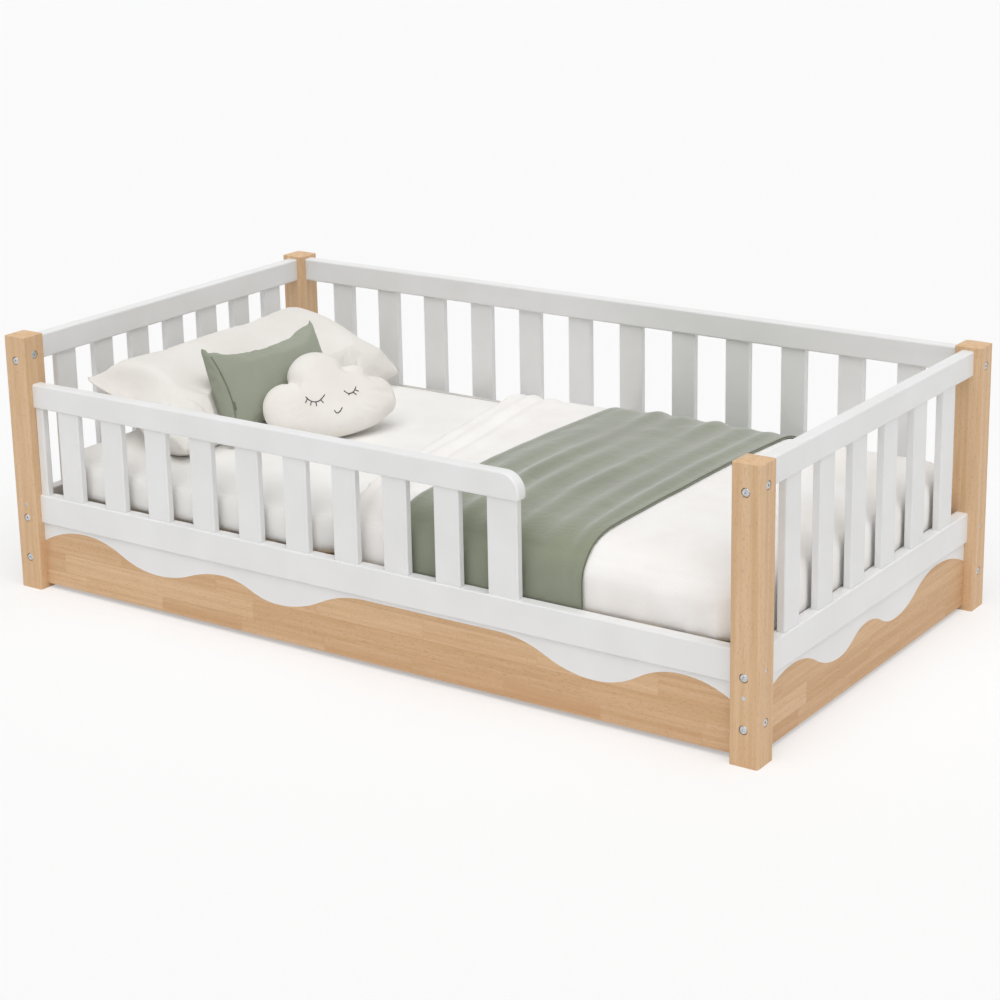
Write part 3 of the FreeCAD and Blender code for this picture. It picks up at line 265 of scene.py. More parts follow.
dress(["base_slats"], planed_pine("planed_pine_boards", along=1))
dress(["ledger_front", "ledger_back"], planed_pine("planed_pine_ledgers", along=0))
dress(["rail_dowels"], planed_beech("turned_beech", along=0))
webbing, tree, shader, place = new_finish("woven_webbing", Roughness=0.9)
ribs = add(tree, "ShaderNodeTexWave", {"Vector": place, "Scale": bands_scale(WEBBING_RIB),
                                       "Distortion": 0.5}, out=1)
# Darker in the valleys between the ribs: painted shade.
add(tree, "ShaderNodeValToRGB", {"Fac": ribs}, to=shader.inputs["Base Color"],
    stops=[(0.0, WEBBING["valley_painted_shade"]), (1.0, WEBBING["rib"])])
add(tree, "ShaderNodeBump", {"Height": ribs, "Strength": 0.6, "Distance": RIB_DEPTH},
    to=shader.inputs["Normal"])
dress(["base_strap_front", "base_strap_back"], webbing)


# Mattress: a foam core in a tight white cotton sheet, between the posts on the slatted base.
# Its top is slightly crowned, its front stands a little looser against the slats, and a
# piped seam runs round its back edge. The piping's grey colour is painted shade: it stands in
# for the thin shaded line along the mattress's back edge.
MATTRESS_VOXEL, PLAN_CORNER = 0.011, 0.06
SHEET_CROWN, CROWN_RIPPLE, EDGE_FALL, EDGE_ROUND = 0.021, 0.0012, 0.085, 2.4
FOOT_TUCK, FOOT_HEIGHT = 0.006, 0.020
# The loose front: how far it stands out, and where it starts and is full along Y and X, above
# the mattress's foot and about its top.
LOOSE_FRONT, LOOSE_RIPPLE, LOOSE_Y, LOOSE_X = 0.020, 0.003, (-0.33, -0.40), (-0.06, -0.12)
LOOSE_LOW, LOOSE_HIGH = (-0.03, 0.01), (0.002, -0.015)
PIPING, PIPING_RISE = 0.0042, 0.004
# Cotton: soft patches 140 mm wide, creases 30 mm wide, and threads drawn 1.8 mm apart.
PATCHES_IN_A_METRE, CREASES_IN_A_METRE, COTTON_THREAD = 7.0, 34.0, 0.0018
CREASE_RELIEF, WEAVE_RELIEF = 0.004, 0.0003


def cotton(name, pale, shaded, crinkle, thread=COTTON_THREAD, nap=0.15):
    """Washed plain cotton: matt, with soft patches, small crinkles and a plain weave. The
    threads are drawn coarser than the real ones so that they show."""
    material, tree, shader, place = new_finish(name, Roughness=0.92, IOR=1.45,
                                               Sheen_Weight=nap, Sheen_Roughness=0.5)
    patches = add(tree, "ShaderNodeTexNoise", {"Vector": place, "Scale": PATCHES_IN_A_METRE,
                                               "Detail": 3.0})
    add(tree, "ShaderNodeValToRGB", {"Fac": patches}, to=shader.inputs["Base Color"],
        stops=[(0.35, shaded), (0.65, pale)])
    creases = add(tree, "ShaderNodeTexNoise", {"Vector": place, "Scale": CREASES_IN_A_METRE,
                                               "Detail": 4.0, "Roughness": 0.6,
                                               "Distortion": 0.6})
    height = 0.0
    for way in "XYZ":
        wave = add(tree, "ShaderNodeTexWave",
                   {"Vector": place, "Scale": bands_scale(thread), "Distortion": 0.4},
                   out=1, bands_direction=way)
        height = add(tree, "ShaderNodeMath", {0: wave, 1: height}, operation="ADD")
    creased = add(tree, "ShaderNodeBump", {"Height": creases, "Strength": crinkle,
                                           "Distance": CREASE_RELIEF})
    add(tree, "ShaderNodeBump", {"Height": height, "Strength": 0.35,
                                 "Distance": WEAVE_RELIEF, "Normal": creased},
        to=shader.inputs["Normal"])
    return material


def piece_from(work, name, material):
    """A new smooth piece from a bmesh, with its finish."""
    data = bpy.data.meshes.new(name)
    work.to_mesh(data)
    work.free()
    data.polygons.foreach_set("use_smooth", [True] * len(data.polygons))
    data.materials.append(material)
    piece = bpy.data.objects.new(name, data)
    bpy.context.scene.collection.objects.link(piece)
    return piece


def settle(piece):
    """Puts what a piece's modifiers make into its mesh and takes the modifiers off."""
    made = bpy.data.meshes.new_from_object(
        piece.evaluated_get(bpy.context.evaluated_depsgraph_get()))
    piece.modifiers.clear()
    piece.data = made
    made.polygons.foreach_set("use_smooth", [True] * len(made.polygons))


def cover_evenly(piece, voxel, rounds=0):
    """Gives a closed shape a skin of small even faces, and smooths it so many times."""
    remesh = piece.modifiers.new("even", "REMESH")
    remesh.mode, remesh.voxel_size = "VOXEL", voxel
    if rounds:
        piece.modifiers.new("soften", "SMOOTH").iterations = rounds
    settle(piece)


def smoothstep(low, high, at):
    """0 at and before low, 1 at and past high, and a smooth rise between them."""
    share = min(max((at - low) / (high - low), 0), 1)
    return share * share * (3 - 2 * share)


def wave_noise(x, y, z, seed=0.0):
    """Smooth noise between -1 and 1 that is the same each run."""
    return noise.noise(Vector((x + seed, y - seed, z + 2 * seed)))


sheet_cotton = cotton("white_sheet_cotton", "F5F3F0", "F0EEEB", 0.10)
bed_low, bed_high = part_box("mattress")
middle, span = (bed_low + bed_high) / 2, bed_high - bed_low
work = bmesh.new()
bmesh.ops.create_cube(work, size=1,
                      matrix=Matrix.Translation(middle) @ Matrix.Diagonal((*span, 1)))
uprights = [edge for edge in work.edges
            if abs(edge.verts[0].co.z - edge.verts[1].co.z) > span.z / 2]
bmesh.ops.bevel(work, geom=uprights, offset=PLAN_CORNER, segments=8, profile=0.5,
                affect="EDGES", material=-1)
mattress = piece_from(work, "mattress_in_sheet", sheet_cotton)
cover_evenly(mattress, MATTRESS_VOXEL)
seam_level = bed_high.z - SHEET_CROWN


def mattress_top(x, y):
    """The level of the mattress's top at a place on it."""
    inside = min(span.x / 2 - abs(x - middle.x), span.y / 2 - abs(y - middle.y))
    rise = 1 - (1 - min(max(inside, 0) / EDGE_FALL, 1)) ** EDGE_ROUND
    ripple = CROWN_RIPPLE * (noise.noise(Vector((x * 9, y * 4, 4.1))) - 1)
    return seam_level + (SHEET_CROWN + ripple) * rise


for vertex in mattress.data.vertices:
    if vertex.co.z > seam_level:
        vertex.co.z = mattress_top(vertex.co.x, vertex.co.y)
    front = smoothstep(*LOOSE_Y, vertex.co.y) * smoothstep(*LOOSE_X, vertex.co.x)
    loose = front * smoothstep(bed_low.z + LOOSE_LOW[0], bed_low.z + LOOSE_LOW[1], vertex.co.z)
    loose *= smoothstep(bed_high.z + LOOSE_HIGH[0], seam_level + LOOSE_HIGH[1], vertex.co.z)
    ripple = LOOSE_RIPPLE * wave_noise(vertex.co.x * 9, 0, vertex.co.z * 6, 23.0)
    vertex.co.y -= loose * (LOOSE_FRONT + ripple)
    if vertex.co.z < bed_low.z + FOOT_HEIGHT:
        share = 1 - (vertex.co.z - bed_low.z) / FOOT_HEIGHT
        vertex.co.x -= FOOT_TUCK * share * (vertex.co.x - middle.x) / (span.x / 2)
        vertex.co.y -= FOOT_TUCK * share * (vertex.co.y - middle.y) / (span.y / 2)
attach(mattress, "root")
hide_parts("mattress")


def tube_along(points, name, radius, material):
    """A round piping, zip or thread through points, as a mesh."""
    curve = bpy.data.curves.new(name, "CURVE")
    curve.dimensions, curve.bevel_depth, curve.bevel_resolution = "3D", radius, 3
    curve.use_fill_caps = True
    spline = curve.splines.new("NURBS")
    spline.points.add(len(points) - 1)
    for point, place in zip(spline.points, points):
        point.co = (*place, 1)
    spline.order_u = 3
    spline.use_endpoint_u = True
    holder = bpy.data.objects.new(name, curve)
    bpy.context.scene.collection.objects.link(holder)
    made = bpy.data.meshes.new_from_object(
        holder.evaluated_get(bpy.context.evaluated_depsgraph_get()))
    bpy.data.objects.remove(holder)
    work = bmesh.new()
    work.from_mesh(made)
    bmesh.ops.remove_doubles(work, verts=work.verts[:], dist=radius / 50)
    bmesh.ops.recalc_face_normals(work, faces=work.faces[:])
    return piece_from(work, name, material)


reach_x, reach_y = span.x / 2 - PIPING / 2, span.y / 2 - PIPING / 2
corner_run = [(math.cos(step * math.pi / 12), math.sin(step * math.pi / 12))
              for step in range(7)]
around = []
for sign_x, quarter in ((1, corner_run), (-1, corner_run[::-1])):
    around += [Vector((sign_x * (reach_x - PLAN_CORNER * (1 - across)),
                       reach_y - PLAN_CORNER * (1 - up), seam_level + PIPING_RISE))
               for across, up in quarter]
# The piping's grey colour is painted shade along the mattress's back edge.
piping = tube_along(around, "sheet_piping", PIPING,
                    cotton("piping_cotton_painted_shade", "CBC8C3", "C0BDB8", 0.05))
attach(piping, "root")


# Duvet: a quilt in a pale washed cotton cover. It lies over the foot half of the mattress,
# its upper edge folded back aslant, and its sides hang between the mattress and the slats,
# where they crease and swell a little through the gaps.
DUVET_VOXEL = 0.008
HEAD_EDGE_BACK, HEAD_EDGE_FRONT = Vector((-0.190, 0.4185)), Vector((-0.040, -0.4185))
# Creases beside the folded edge: how far from it, how wide and how high.
EDGE_CREASES = ((0.030, 0.007, -0.0022), (0.048, 0.009, 0.0030), (0.072, 0.010, -0.0048),
                (0.094, 0.009, 0.0024), (0.122, 0.010, -0.0020))
EDGE_BEND, SWELL, SINK, FINE = 0.012, 0.0022, 0.0020, 0.0009
FOOT_SLATS, FOOT_SLAT_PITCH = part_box("slats_foot"), 0.1257
BETWEEN_SLATS, AT_SLATS, FRONT_STAND, FRONT_CREASE = 0.0085, 0.0035, 0.0012, 0.0085
FOLLOWS_SHEET = (0.215, 0.275)


def welded_copy(node, name, material):
    """A merged copy of a CAD node's mesh as a new piece."""
    work = bmesh.new()
    work.from_mesh(NODES[node].data)
    bmesh.ops.remove_doubles(work, verts=work.verts[:], dist=1e-5)
    return piece_from(work, name, material)


head_line = (HEAD_EDGE_FRONT - HEAD_EDGE_BACK).normalized()
inward = Vector((-head_line.y, head_line.x))
duvet_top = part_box("duvet")[1].z


def duvet_relief(at, normal):
    """How far the cover stands out or in, in metres: it swells all over, creases beside its
    folded edge, bulges between the foot's slats, and puckers low on its front."""
    past = (Vector((at.x, at.y)) - HEAD_EDGE_BACK).dot(inward)
    on_top = smoothstep(0.4, 0.9, normal.z)
    upright = 1 - smoothstep(0.1, 0.5, abs(normal.z))
    soft = SWELL * wave_noise(at.x * 5, at.y * 4, at.z * 5) - SINK
    fine = FINE * wave_noise(at.x * 17, at.y * 13, at.z * 15, 3.0)
    bend = EDGE_BEND * wave_noise(at.x * 3, at.y * 5, 0, 5.0)
    creases = sum(height * math.exp(-((past + bend - line) / width) ** 2)
                  for line, width, height in EDGE_CREASES)
    relief = soft + fine + on_top * creases
    if normal.x > 0.5:
        middle_y = (FOOT_SLATS[0].y + FOOT_SLATS[1].y) / 2
        slat = 0.5 - 0.5 * math.cos(2 * math.pi * (at.y - middle_y) / FOOT_SLAT_PITCH)
        level = smoothstep(0.315, 0.26, at.z) * smoothstep(0.19, 0.225, at.z)
        relief += BETWEEN_SLATS * level * (1 - slat) ** 1.5 - AT_SLATS * level * slat ** 6
    elif normal.y < -0.5:
        pull = max(wave_noise(at.x * 26, 0, at.z * 9, 7.0), 0)
        stand = FRONT_STAND + FRONT_CREASE * pull * smoothstep(0.30, 0.21, at.z)
        relief += upright * stand * smoothstep(0.3, 0.7, at.x)
    return relief


def push(piece, depth):
    """Moves each point of a piece along its normal by depth(place, normal)."""
    normals = [vertex.normal.copy() for vertex in piece.data.vertices]
    for vertex, normal in zip(piece.data.vertices, normals):
        vertex.co += normal * depth(vertex.co, normal)


duvet = welded_copy("duvet", "duvet_in_cover",
                    cotton("washed_duvet_cotton", "FAF8F6", "F4F0EC", 0.22))
cover_evenly(duvet, DUVET_VOXEL, rounds=6)
for vertex in duvet.data.vertices:
    fall = bed_high.z - mattress_top(vertex.co.x, vertex.co.y)
    vertex.co.z -= fall * smoothstep(*FOLLOWS_SHEET, vertex.co.z)
push(duvet, duvet_relief)
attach(duvet, "root")
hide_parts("duvet")


# Throw: a light sage blanket of brushed cotton gauze, laid across the duvet with a few long
# soft folds. It is one sheet with a narrow hem all round. A thin dark thread along its foot
# edge is painted shade: it stands in for the shadow line of the blanket's thickness there.
# It hangs over the front to the middle rail, and behind the mattress at the back.
THROW_THICK, THROW_GAP, HEM, HEM_RISE, EDGE_SHADE_RADIUS = 0.0030, 0.0016, 0.011, 0.0010, 0.0013
THROW_FLAT, THROW_ROWS, THROW_COLUMNS, HEM_SPAN = (0.412, 1.01), 220, 110, 1.1
THROW_FRONT, THROW_BACK, GAUZE_THREAD = 0.195, 0.262, 0.0032
# The line that it is laid from: a crown, a rolled edge and a drop, just outside the duvet.
ROLL, SAG, GUIDE_OUT, LAID_FROM = 0.042, 0.009, 0.006, 0.03
DRIFT, FOLD_SLANT, FOLD_BEND, CRUMPLE, FLATTER_ON_SIDE = 0.004, 0.030, 0.010, 0.0012, 0.72
# Folds: how far from the head edge, how wide and how high.
FOLDS = ((0.050, 0.020, 0.0060), (0.118, 0.017, 0.0085), (0.178, 0.020, 0.0055),
         (0.250, 0.017, 0.0085), (0.318, 0.020, 0.0060), (0.372, 0.014, 0.0065))

guide_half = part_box("duvet")[1].y + GUIDE_OUT
near = guide_half - ROLL
crown_radius = (near ** 2 + SAG ** 2) / (2 * SAG) + ROLL
crown_centre = duvet_top + GUIDE_OUT - crown_radius
roll_level = crown_centre + math.sqrt((crown_radius - ROLL) ** 2 - near ** 2)
crown_lean = math.atan2(near, roll_level - crown_centre)
crown_run, roll_run = crown_radius * crown_lean, ROLL * (math.pi / 2 - crown_lean)


def across_bed(run):
    """A point over the duvet's section, so far from its middle, and the way out there."""
    side, run = math.copysign(1, run), abs(run)
    if run < crown_run:
        angle = run / crown_radius
        y, z = crown_radius * math.sin(angle), crown_centre + crown_radius * math.cos(angle)
    elif run < crown_run + roll_run:
        angle = crown_lean + (run - crown_run) / ROLL
        y, z = near + ROLL * math.sin(angle), roll_level + ROLL * math.cos(angle)
    else:
        angle = math.pi / 2
        y, z = guide_half, roll_level - (run - crown_run - roll_run)
    return side * y, z, Vector((0, side * math.sin(angle), math.cos(angle)))


def skin_of(piece):
    """A piece's faces, for finding the nearest place or what a ray meets."""
    work = bmesh.new()
    work.from_mesh(piece.data)
    faces = BVHTree.FromBMesh(work)
    work.free()
    return faces


duvet_skin = skin_of(duvet)
throw_low, throw_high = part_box("throw_blanket")
throw_width = throw_high.x - throw_low.x
front_run = crown_run + roll_run + roll_level - THROW_FRONT
back_run = crown_run + roll_run + roll_level - THROW_BACK
foot_edge = []
work = bmesh.new()
bmesh.ops.create_grid(work, x_segments=THROW_COLUMNS, y_segments=THROW_ROWS, size=1)
for vertex in work.verts:
    share_x, share_y = (vertex.co.x + 1) / 2, (vertex.co.y + 1) / 2
    run = -front_run + share_y * (front_run + back_run)
    along = share_x * throw_width
    y, z, out = across_bed(run)
    drift = DRIFT * wave_noise(0, run * 3, 0, 11.0) * math.sin(math.pi * share_x)
    x = throw_low.x + along + drift
    start = Vector((x, y, z)) + out * LAID_FROM
    hit = duvet_skin.ray_cast(start, -out)[0]
    slanted = along + FOLD_SLANT * run + FOLD_BEND * wave_noise(share_x * 2, run * 4, 0, 13.0)
    lift = sum(height * math.exp(-((slanted - crest) / width) ** 2)
               * (0.70 + 0.9 * wave_noise(run * 3, crest * 9, 0, 17.0))
               for crest, width, height in FOLDS)
    on_side = smoothstep(crown_run * 0.93, crown_run + roll_run, abs(run))
    lift *= 1 - FLATTER_ON_SIDE * on_side
    lift += CRUMPLE * max(wave_noise(x * 24, run * 16, 0, 19.0), 0) * (1 - 0.5 * on_side)
    edge = min(along, throw_width - along, (1 - share_y) * HEM_SPAN, share_y * HEM_SPAN)
    hemmed = HEM_RISE * smoothstep(HEM + 0.002, HEM, edge)
    vertex.co = hit + out * (THROW_GAP + max(lift, 0) + hemmed)
    if share_x > 0.999:
        foot_edge.append((run, vertex.co + out * THROW_THICK))
throw = piece_from(work, "sage_throw",
                   cotton("sage_brushed_gauze", "878D77", "7F8470", 0.35,
                          thread=GAUZE_THREAD, nap=1.0))
thicken = throw.modifiers.new("thickness", "SOLIDIFY")
thicken.thickness, thicken.offset = THROW_THICK, 1
settle(throw)
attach(throw, "root")
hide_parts("throw_blanket")
# A thin dark thread along the foot edge: painted shade for the shadow line of the blanket's
# thickness.
foot_edge.sort(key=lambda step: step[0])
painted_edge_shade = tube_along([place for run, place in foot_edge[2:-2:3]], "throw_edge_painted_shade", EDGE_SHADE_RADIUS,
                      cotton("sage_thread_painted_edge_shade", "666C58", "5E6350", 0.05))
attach(painted_edge_shade, "root")


# Pillow: a full-size child's pillow in a cream cotton case, leaning far back on the head
# slats. It is stuffed by simulation from a slack case, fuller along its lower rim. Its near
# end is an empty, creased flap, and the sage cushion presses a dent into it.
PILLOW_VOXEL, PILLOW_SLACK, PILLOW_CAP = 0.006, 0.85, 0.024
CASE_VOXEL, CASE_STIFFNESS, PRESSURE, SIM_FRAMES = 0.005, 0.15, 4, 20
FALL_HEIGHT, CLEAR_OF_SHEET = 0.045, 0.0008


def lean_frame(foot, side, lean, turn):
    """The frame of a case that stands on the mattress: X its width, Y up it, Z its front. It
    leans back and is turned by these degrees."""
    tilt, swing = math.radians(lean), math.radians(turn)
    width = Vector((math.sin(swing), math.cos(swing), 0))
    facing = Vector((math.cos(swing), -math.sin(swing), 0))
    up = Vector((0, 0, math.cos(tilt))) - facing * math.sin(tilt)
    turned = Matrix((width, up, width.cross(up))).transposed().to_4x4()
    return Matrix.Translation((foot - span.x / 2, side, bed_high.z)) @ turned


def slacken(piece, frame_of_case, thickness):
    """Flattens a case about its seam to a share of its thickness, before it is stuffed."""
    to_case = frame_of_case.inverted()
    points = [to_case @ vertex.co for vertex in piece.data.vertices]
    seam = (min(point.z for point in points) + max(point.z for point in points)) / 2
    for vertex, point in zip(piece.data.vertices, points):
        point.z = seam + (point.z - seam) * thickness
        vertex.co = frame_of_case @ point


def stuff(piece, cap, held=()):
    """Blows a case up as cloth. The held points stay, and none moves further than the cap."""
    before = [vertex.co.copy() for vertex in piece.data.vertices]
    seam = piece.vertex_groups.new(name="seam")
    seam.add(held, 1.0, "REPLACE")
    cloth = piece.modifiers.new("filling", "CLOTH").settings
    cloth.vertex_group_mass = seam.name
    cloth.use_pressure, cloth.uniform_pressure_force = True, PRESSURE
    cloth.effector_weights.gravity = 0
    cloth.bending_stiffness = CASE_STIFFNESS
    for number in range(1, SIM_FRAMES + 1):
        bpy.context.scene.frame_set(number)
    settle(piece)
    bpy.context.scene.frame_set(1)
    for vertex, start in zip(piece.data.vertices, before):
        moved = vertex.co - start
        if moved.length > cap:
            vertex.co = start + moved * cap / moved.length


def rest_on_sheet(piece):
    """Brings the lowest part of a case down onto the sheet and flattens it there."""
    for vertex in piece.data.vertices:
        floor = mattress_top(vertex.co.x, vertex.co.y) + CLEAR_OF_SHEET
        share = 1 - smoothstep(bed_high.z, bed_high.z + FALL_HEIGHT, vertex.co.z)
        vertex.co.z = max(vertex.co.z - (bed_high.z - floor) * share, floor)


def finish_case(piece, node):
    """Subdivides a stuffed case once and puts it in its node's place."""
    smooth = piece.modifiers.new("subdivision", "SUBSURF")
    smooth.levels = smooth.render_levels = 1
    settle(piece)
    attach(piece, "root")
    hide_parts(node)


PILLOW_SIZE, PILLOW_FRAME = Vector((0.735, 0.345, 0.112)), lean_frame(0.306, 0.008, 69, 0)
CUSHION_SIZE, CUSHION_FRAME = Vector((0.336, 0.218, 0.068)), lean_frame(0.333, -0.068, 21, 6)
# The rim: how wide it is, its roundness, how much fuller it gets, and between which shares of
# the pillow's height.
RIM, RIM_ROUND, MOST_FULLER, RIM_FADE, THINNEST = 0.085, 2.2, 3.5, (0.95, 0.45), 0.001
# The empty flap: where it starts and is full, out from the middle and up the pillow.
FLAP_OUT, FLAP_UP, FLAP_FLAT, FLAP_DRAW = (0.250, 0.345), (0.10, 0.22), 0.60, 0.034
# Creases beside the flap: the same, and above which thickness.
CREASE_PITCH, CREASE_SLANT, CREASE_DEPTH = 0.040, 0.4, 0.009
CREASE_OUT, CREASE_UP, CREASE_THICK = (0.13, 0.30), (0.15, 0.03), (0.01, 0.04)
DENT_SLOPE, DENT_GAP = 0.9, 0.003


def lens(size, point):
    """Half the thickness of a case of this size at a point of its plan, 0 outside it."""
    across, up = min(abs(2 * point.x / size.x), 1), min(abs(2 * point.y / size.y - 1), 1)
    return size.z / 2 * math.sqrt(1 - across ** 2) * (1 - up ** 2)


def outside(size, point):
    """How far a point lies outside a case's plan, negative inside it."""
    return max(abs(point.x) - size.x / 2, -point.y, point.y - size.y)


pillow = welded_copy("pillow", "pillow_in_case",
                     cotton("cream_pillow_cotton", "ECE9E4", "E6E2DC", 0.25))
cover_evenly(pillow, PILLOW_VOXEL)
to_pillow, to_cushion = PILLOW_FRAME.inverted(), CUSHION_FRAME.inverted()
for vertex in pillow.data.vertices:
    point = to_pillow @ vertex.co
    rim = min(max(-outside(PILLOW_SIZE, point), 0) / RIM, 1)
    plump = PILLOW_SIZE.z / 2 * (1 - (1 - rim) ** RIM_ROUND) ** (1 / RIM_ROUND)
    fuller = min(max(plump / max(lens(PILLOW_SIZE, point), THINNEST), 1), MOST_FULLER) - 1
    point.z *= 1 + fuller * smoothstep(PILLOW_SIZE.y * RIM_FADE[0],
                                       PILLOW_SIZE.y * RIM_FADE[1], point.y)
    vertex.co = PILLOW_FRAME @ point
cover_evenly(pillow, PILLOW_VOXEL, rounds=3)
slacken(pillow, PILLOW_FRAME, PILLOW_SLACK)
stuff(pillow, PILLOW_CAP)
for vertex in pillow.data.vertices:
    point = to_pillow @ vertex.co
    slack = smoothstep(*FLAP_OUT, -point.x) * smoothstep(*FLAP_UP, point.y)
    point.z *= 1 - slack * FLAP_FLAT
    point.x += slack * FLAP_DRAW
    end = smoothstep(*CREASE_OUT, -point.x) * smoothstep(*CREASE_UP, point.y)
    wave = math.cos(2 * math.pi * (point.x + CREASE_SLANT * point.y) / CREASE_PITCH)
    point.z -= CREASE_DEPTH * end * max(wave, 0) * smoothstep(*CREASE_THICK, point.z)
    beside = to_cushion @ (PILLOW_FRAME @ point)
    room = DENT_SLOPE * max(outside(CUSHION_SIZE, beside), 0) - DENT_GAP
    beside.z = min(beside.z, room - lens(CUSHION_SIZE, beside))
    vertex.co = CUSHION_FRAME @ beside
rest_on_sheet(pillow)
finish_case(pillow, "pillow")


# Sage cushion: a plain linen-cotton cover over a soft filling, set upright against the
# pillow. Its corners are drawn out to points, its sides pull in between them, and a zip with
# a small pull runs down its side towards the entrance.
CUSHION_SLACK, CUSHION_CAP, LINEN_THREAD = 0.72, 0.022, 0.0024
# Places on a case are millimetres across it from its middle and up it from its foot.
ZIP_RUN = [(-178, 205), (-172, 175), (-168, 138), (-166, 100), (-166, 66), (-170, 34)]
PULL_RUN = [(-158, 92), (-159, 83), (-161, 74)]
ZIP_RADIUS, PULL_RADIUS, IN_FRONT, PROUD = 0.0013, 0.0020, 0.06, 0.4
cushion = welded_copy("cushion", "sage_cushion",
                      cotton("sage_linen_cotton", "9EA393", "979C8B", 0.18,
                             thread=LINEN_THREAD))
cover_evenly(cushion, CASE_VOXEL, rounds=2)
slacken(cushion, CUSHION_FRAME, CUSHION_SLACK)
stuff(cushion, CUSHION_CAP)
rest_on_sheet(cushion)
finish_case(cushion, "cushion")


def laid_on(skin, frame_of_case, places, radius):
    """The points of a case's front nearest to places on it, a little out of the cloth."""
    on_cloth = []
    for across, up in places:
        before = frame_of_case @ Vector((across / 1000, up / 1000, IN_FRONT))
        place_on, out = skin.find_nearest(before)[:2]
        on_cloth.append(place_on + out * (radius * PROUD))
    return on_cloth


cushion_skin = skin_of(cushion)
zip_tape = cotton("sage_zip_tape", "7F8576", "757B6C", 0.05)
for name, run, radius in (("cushion_zip", ZIP_RUN, ZIP_RADIUS),
                          ("cushion_zip_pull", PULL_RUN, PULL_RADIUS)):
    line = tube_along(laid_on(cushion_skin, CUSHION_FRAME, run, radius), name, radius,
                      zip_tape)
    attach(line, "root")


# Cloud cushion: two cut pieces of cream brushed cotton, sewn along a scalloped edge, turned
# and stuffed firm. The seam holds its lobes apart and pulls in at the notches between them,
# and a sleeping face is stitched in dark thread through the front.
CLOUD_FRAME = lean_frame(0.467, -0.057, 37, 25)
CLOUD_SLACK, CLOUD_CAP, SEAM_TURN = 0.80, 0.016, 0.25
THREAD, TWISTS_IN_A_METRE = 0.0010, 900.0
NOTCHES = [(54, 150), (-77, 131), (107, 122), (122, 23), (-107, 13)]
CLOUD_MIDDLE, NOTCH_WIDTH, NOTCH_DEEP, NOTCH_FLAT = (0, 80), 0.017, 0.007, 0.30
FACE = [[(-66, 93), (-62, 83), (-51, 76), (-36, 78), (-24, 89)],
        [(-64, 87), (-71, 79)], [(-58, 79), (-62, 71)], [(-48, 76), (-49, 67)],
        [(-36, 79), (-32, 71)],
        [(21, 91), (26, 83), (34, 82), (45, 86), (51, 96)],
        [(31, 82), (28, 79)], [(40, 84), (46, 77)], [(47, 88), (53, 84)],
        [(-13, 51), (-12, 45), (-7, 42), (0, 46), (6, 54)]]
cloud = welded_copy("cloud_cushion", "cloud_cushion_case",
                    cotton("cream_brushed_cotton", "F1EEE9", "EAE5DE", 0.12, nap=0.35))
cover_evenly(cloud, CASE_VOXEL, rounds=2)
slacken(cloud, CLOUD_FRAME, CLOUD_SLACK)
to_cloud = CLOUD_FRAME.inverted()
way_to_cloud = to_cloud.to_3x3()
stuff(cloud, CLOUD_CAP, held=[vertex.index for vertex in cloud.data.vertices
                              if abs((way_to_cloud @ vertex.normal).z) < SEAM_TURN])
for vertex in cloud.data.vertices:
    point = to_cloud @ vertex.co
    for notch in NOTCHES:
        away = Vector((point.x, point.y)) - Vector(notch) / 1000
        near_notch = math.exp(-(away.length / NOTCH_WIDTH) ** 2)
        inwards = (Vector(CLOUD_MIDDLE) - Vector(notch)).normalized() * NOTCH_DEEP * near_notch
        point += Vector((*inwards, -NOTCH_FLAT * near_notch * point.z))
    vertex.co = CLOUD_FRAME @ point
rest_on_sheet(cloud)
finish_case(cloud, "cloud_cushion")
cloud_skin = skin_of(cloud)
thread, tree, shader, place = new_finish("dark_embroidery_thread", Roughness=0.7)
twist = add(tree, "ShaderNodeTexNoise", {"Vector": place, "Scale": TWISTS_IN_A_METRE})
add(tree, "ShaderNodeValToRGB", {"Fac": twist}, to=shader.inputs["Base Color"],
    stops=[(0.3, "2B2A2B"), (0.7, "454344")])
for index, stitch in enumerate(FACE):
    line = tube_along(laid_on(cloud_skin, CLOUD_FRAME, stitch, THREAD),
                      f"face_stitch_{index + 1}", THREAD, thread)
    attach(line, "root")


# Studio: a white seamless floor, a plain world and two broad lamps, at a level where a colour
# renders about as it is written. The camera sees white past the bed, and the floor shows the
# bed's shadow at six tenths of its depth, as in the photograph.
FLOOR_SIZE, PAPER, FIBRES_IN_A_METRE = 60, ("F6F6F6", "F9F9F9"), 300.0
SHADOW_SHARE, WORLD_LEVEL = 0.60, 0.36
# Each lamp's strength, the way it shines and the width of its sun in degrees.
LAMPS = {"key": (1.55, (-0.25, 0.40, -0.88), 60), "fill": (0.62, (-0.3, 0.0, -1.0), 90)}


def sees_white(tree):
    """1 for the rays of the camera and of mirrors and glass, 0 for those that light things."""
    seen = add(tree, "ShaderNodeLightPath", {}).node
    glossy = add(tree, "ShaderNodeMath", {0: seen.outputs["Is Camera Ray"],
                                          1: seen.outputs["Is Glossy Ray"]},
                 operation="MAXIMUM")
    return add(tree, "ShaderNodeMath", {0: glossy, 1: seen.outputs["Is Transmission Ray"]},
               operation="MAXIMUM")


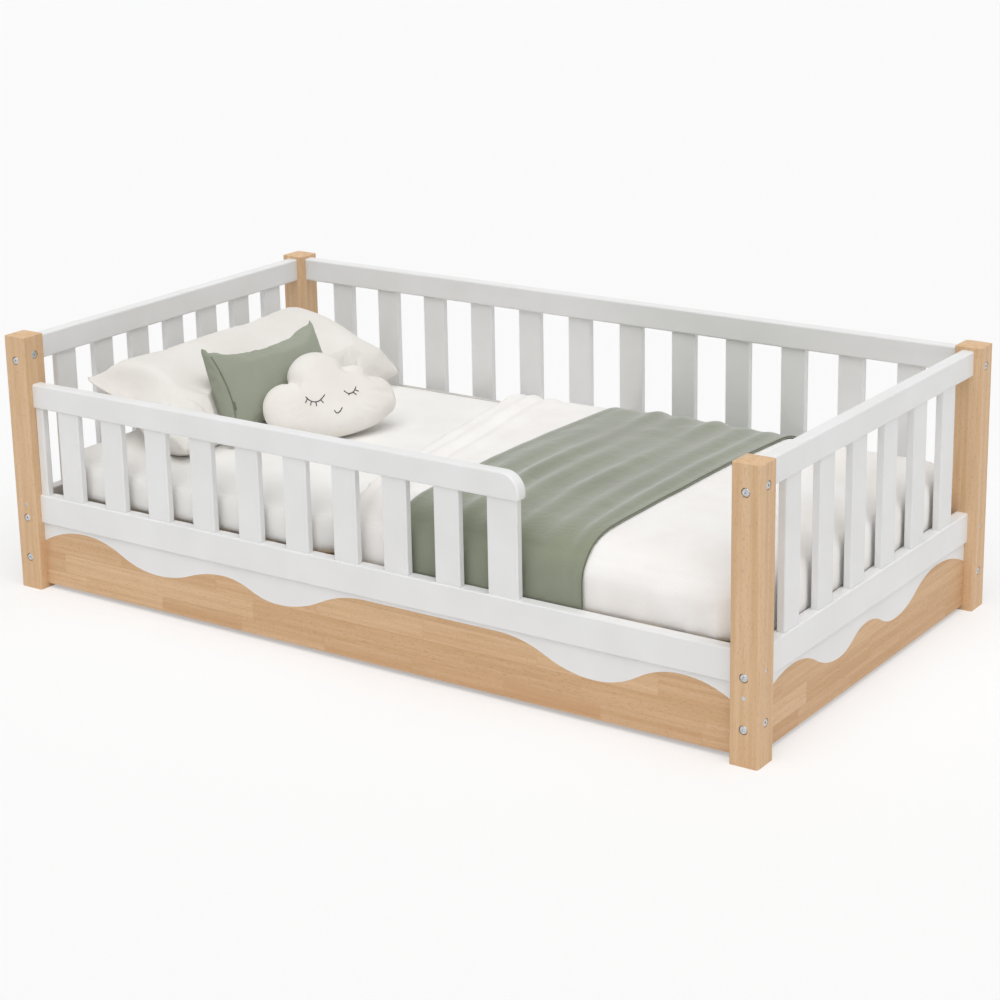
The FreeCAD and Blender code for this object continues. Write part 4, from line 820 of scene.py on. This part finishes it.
work = bmesh.new()
bmesh.ops.create_grid(work, x_segments=1, y_segments=1, size=FLOOR_SIZE / 2)
paper, tree, shader, place = new_finish("seamless_paper", Roughness=0.9)
ending = shader.outputs[0].links[0].to_socket
fibre = add(tree, "ShaderNodeTexNoise", {"Vector": place, "Scale": FIBRES_IN_A_METRE})
add(tree, "ShaderNodeValToRGB", {"Fac": fibre}, to=shader.inputs["Base Color"],
    stops=zip((0.3, 0.7), PAPER))
share = add(tree, "ShaderNodeMath", {0: sees_white(tree), 1: 1 - SHADOW_SHARE},
            operation="MULTIPLY")
glow = add(tree, "ShaderNodeEmission", {"Color": (1, 1, 1, 1), "Strength": 1.0})
add(tree, "ShaderNodeMixShader", {0: share, 1: shader.outputs[0], 2: glow}, to=ending)
ground = piece_from(work, "studio_floor", paper)

world = bpy.data.worlds.new("studio_world")
bpy.context.scene.world = world
world.use_nodes = True
tree = world.node_tree
tree.nodes.clear()
ending = add(tree, "ShaderNodeOutputWorld", {})
level = add(tree, "ShaderNodeMapRange", {"Value": sees_white(tree), "To Min": WORLD_LEVEL,
                                         "To Max": 1.0})
add(tree, "ShaderNodeBackground", {"Color": (1, 1, 1, 1), "Strength": level},
    to=ending.inputs["Surface"])
for name, (strength, towards, spread) in LAMPS.items():
    lamp = bpy.data.lights.new(f"{name}_lamp", "SUN")
    lamp.energy, lamp.angle = strength, math.radians(spread)
    holder = bpy.data.objects.new(f"{name}_lamp", lamp)
    holder.rotation_euler = Vector(towards).to_track_quat("-Z", "Y").to_euler()
    bpy.context.scene.collection.objects.link(holder)


# Camera: the photograph's place and lens, found from the posts, rails and slats. The turn is
# yaw, pitch and roll in degrees.
CAMERA_PLACE, CAMERA_TURN = (2.58666, -3.69813, 1.67107), (34.6877, 15.6317, -1.0649)
FOCAL_PIXELS, SENSOR, MIDDLE_ROW, PICTURE = 2364.2, 36.0, 400, 1000
yaw, pitch, roll = (math.radians(angle) for angle in CAMERA_TURN)
camera_data = bpy.data.cameras.new("camera")
camera_data.sensor_width, camera_data.sensor_fit = SENSOR, "HORIZONTAL"
camera_data.lens = FOCAL_PIXELS / PICTURE * SENSOR
camera_data.shift_y = (MIDDLE_ROW - PICTURE / 2) / PICTURE
camera = bpy.data.objects.new("camera", camera_data)
camera.matrix_world = (Matrix.Translation(CAMERA_PLACE) @ Matrix.Rotation(yaw, 4, "Z")
                       @ Matrix.Rotation(math.pi / 2 - pitch, 4, "X")
                       @ Matrix.Rotation(roll, 4, "Z"))
bpy.context.scene.collection.objects.link(camera)
bpy.context.scene.camera = camera
bpy.context.scene.view_settings.view_transform = "Standard"
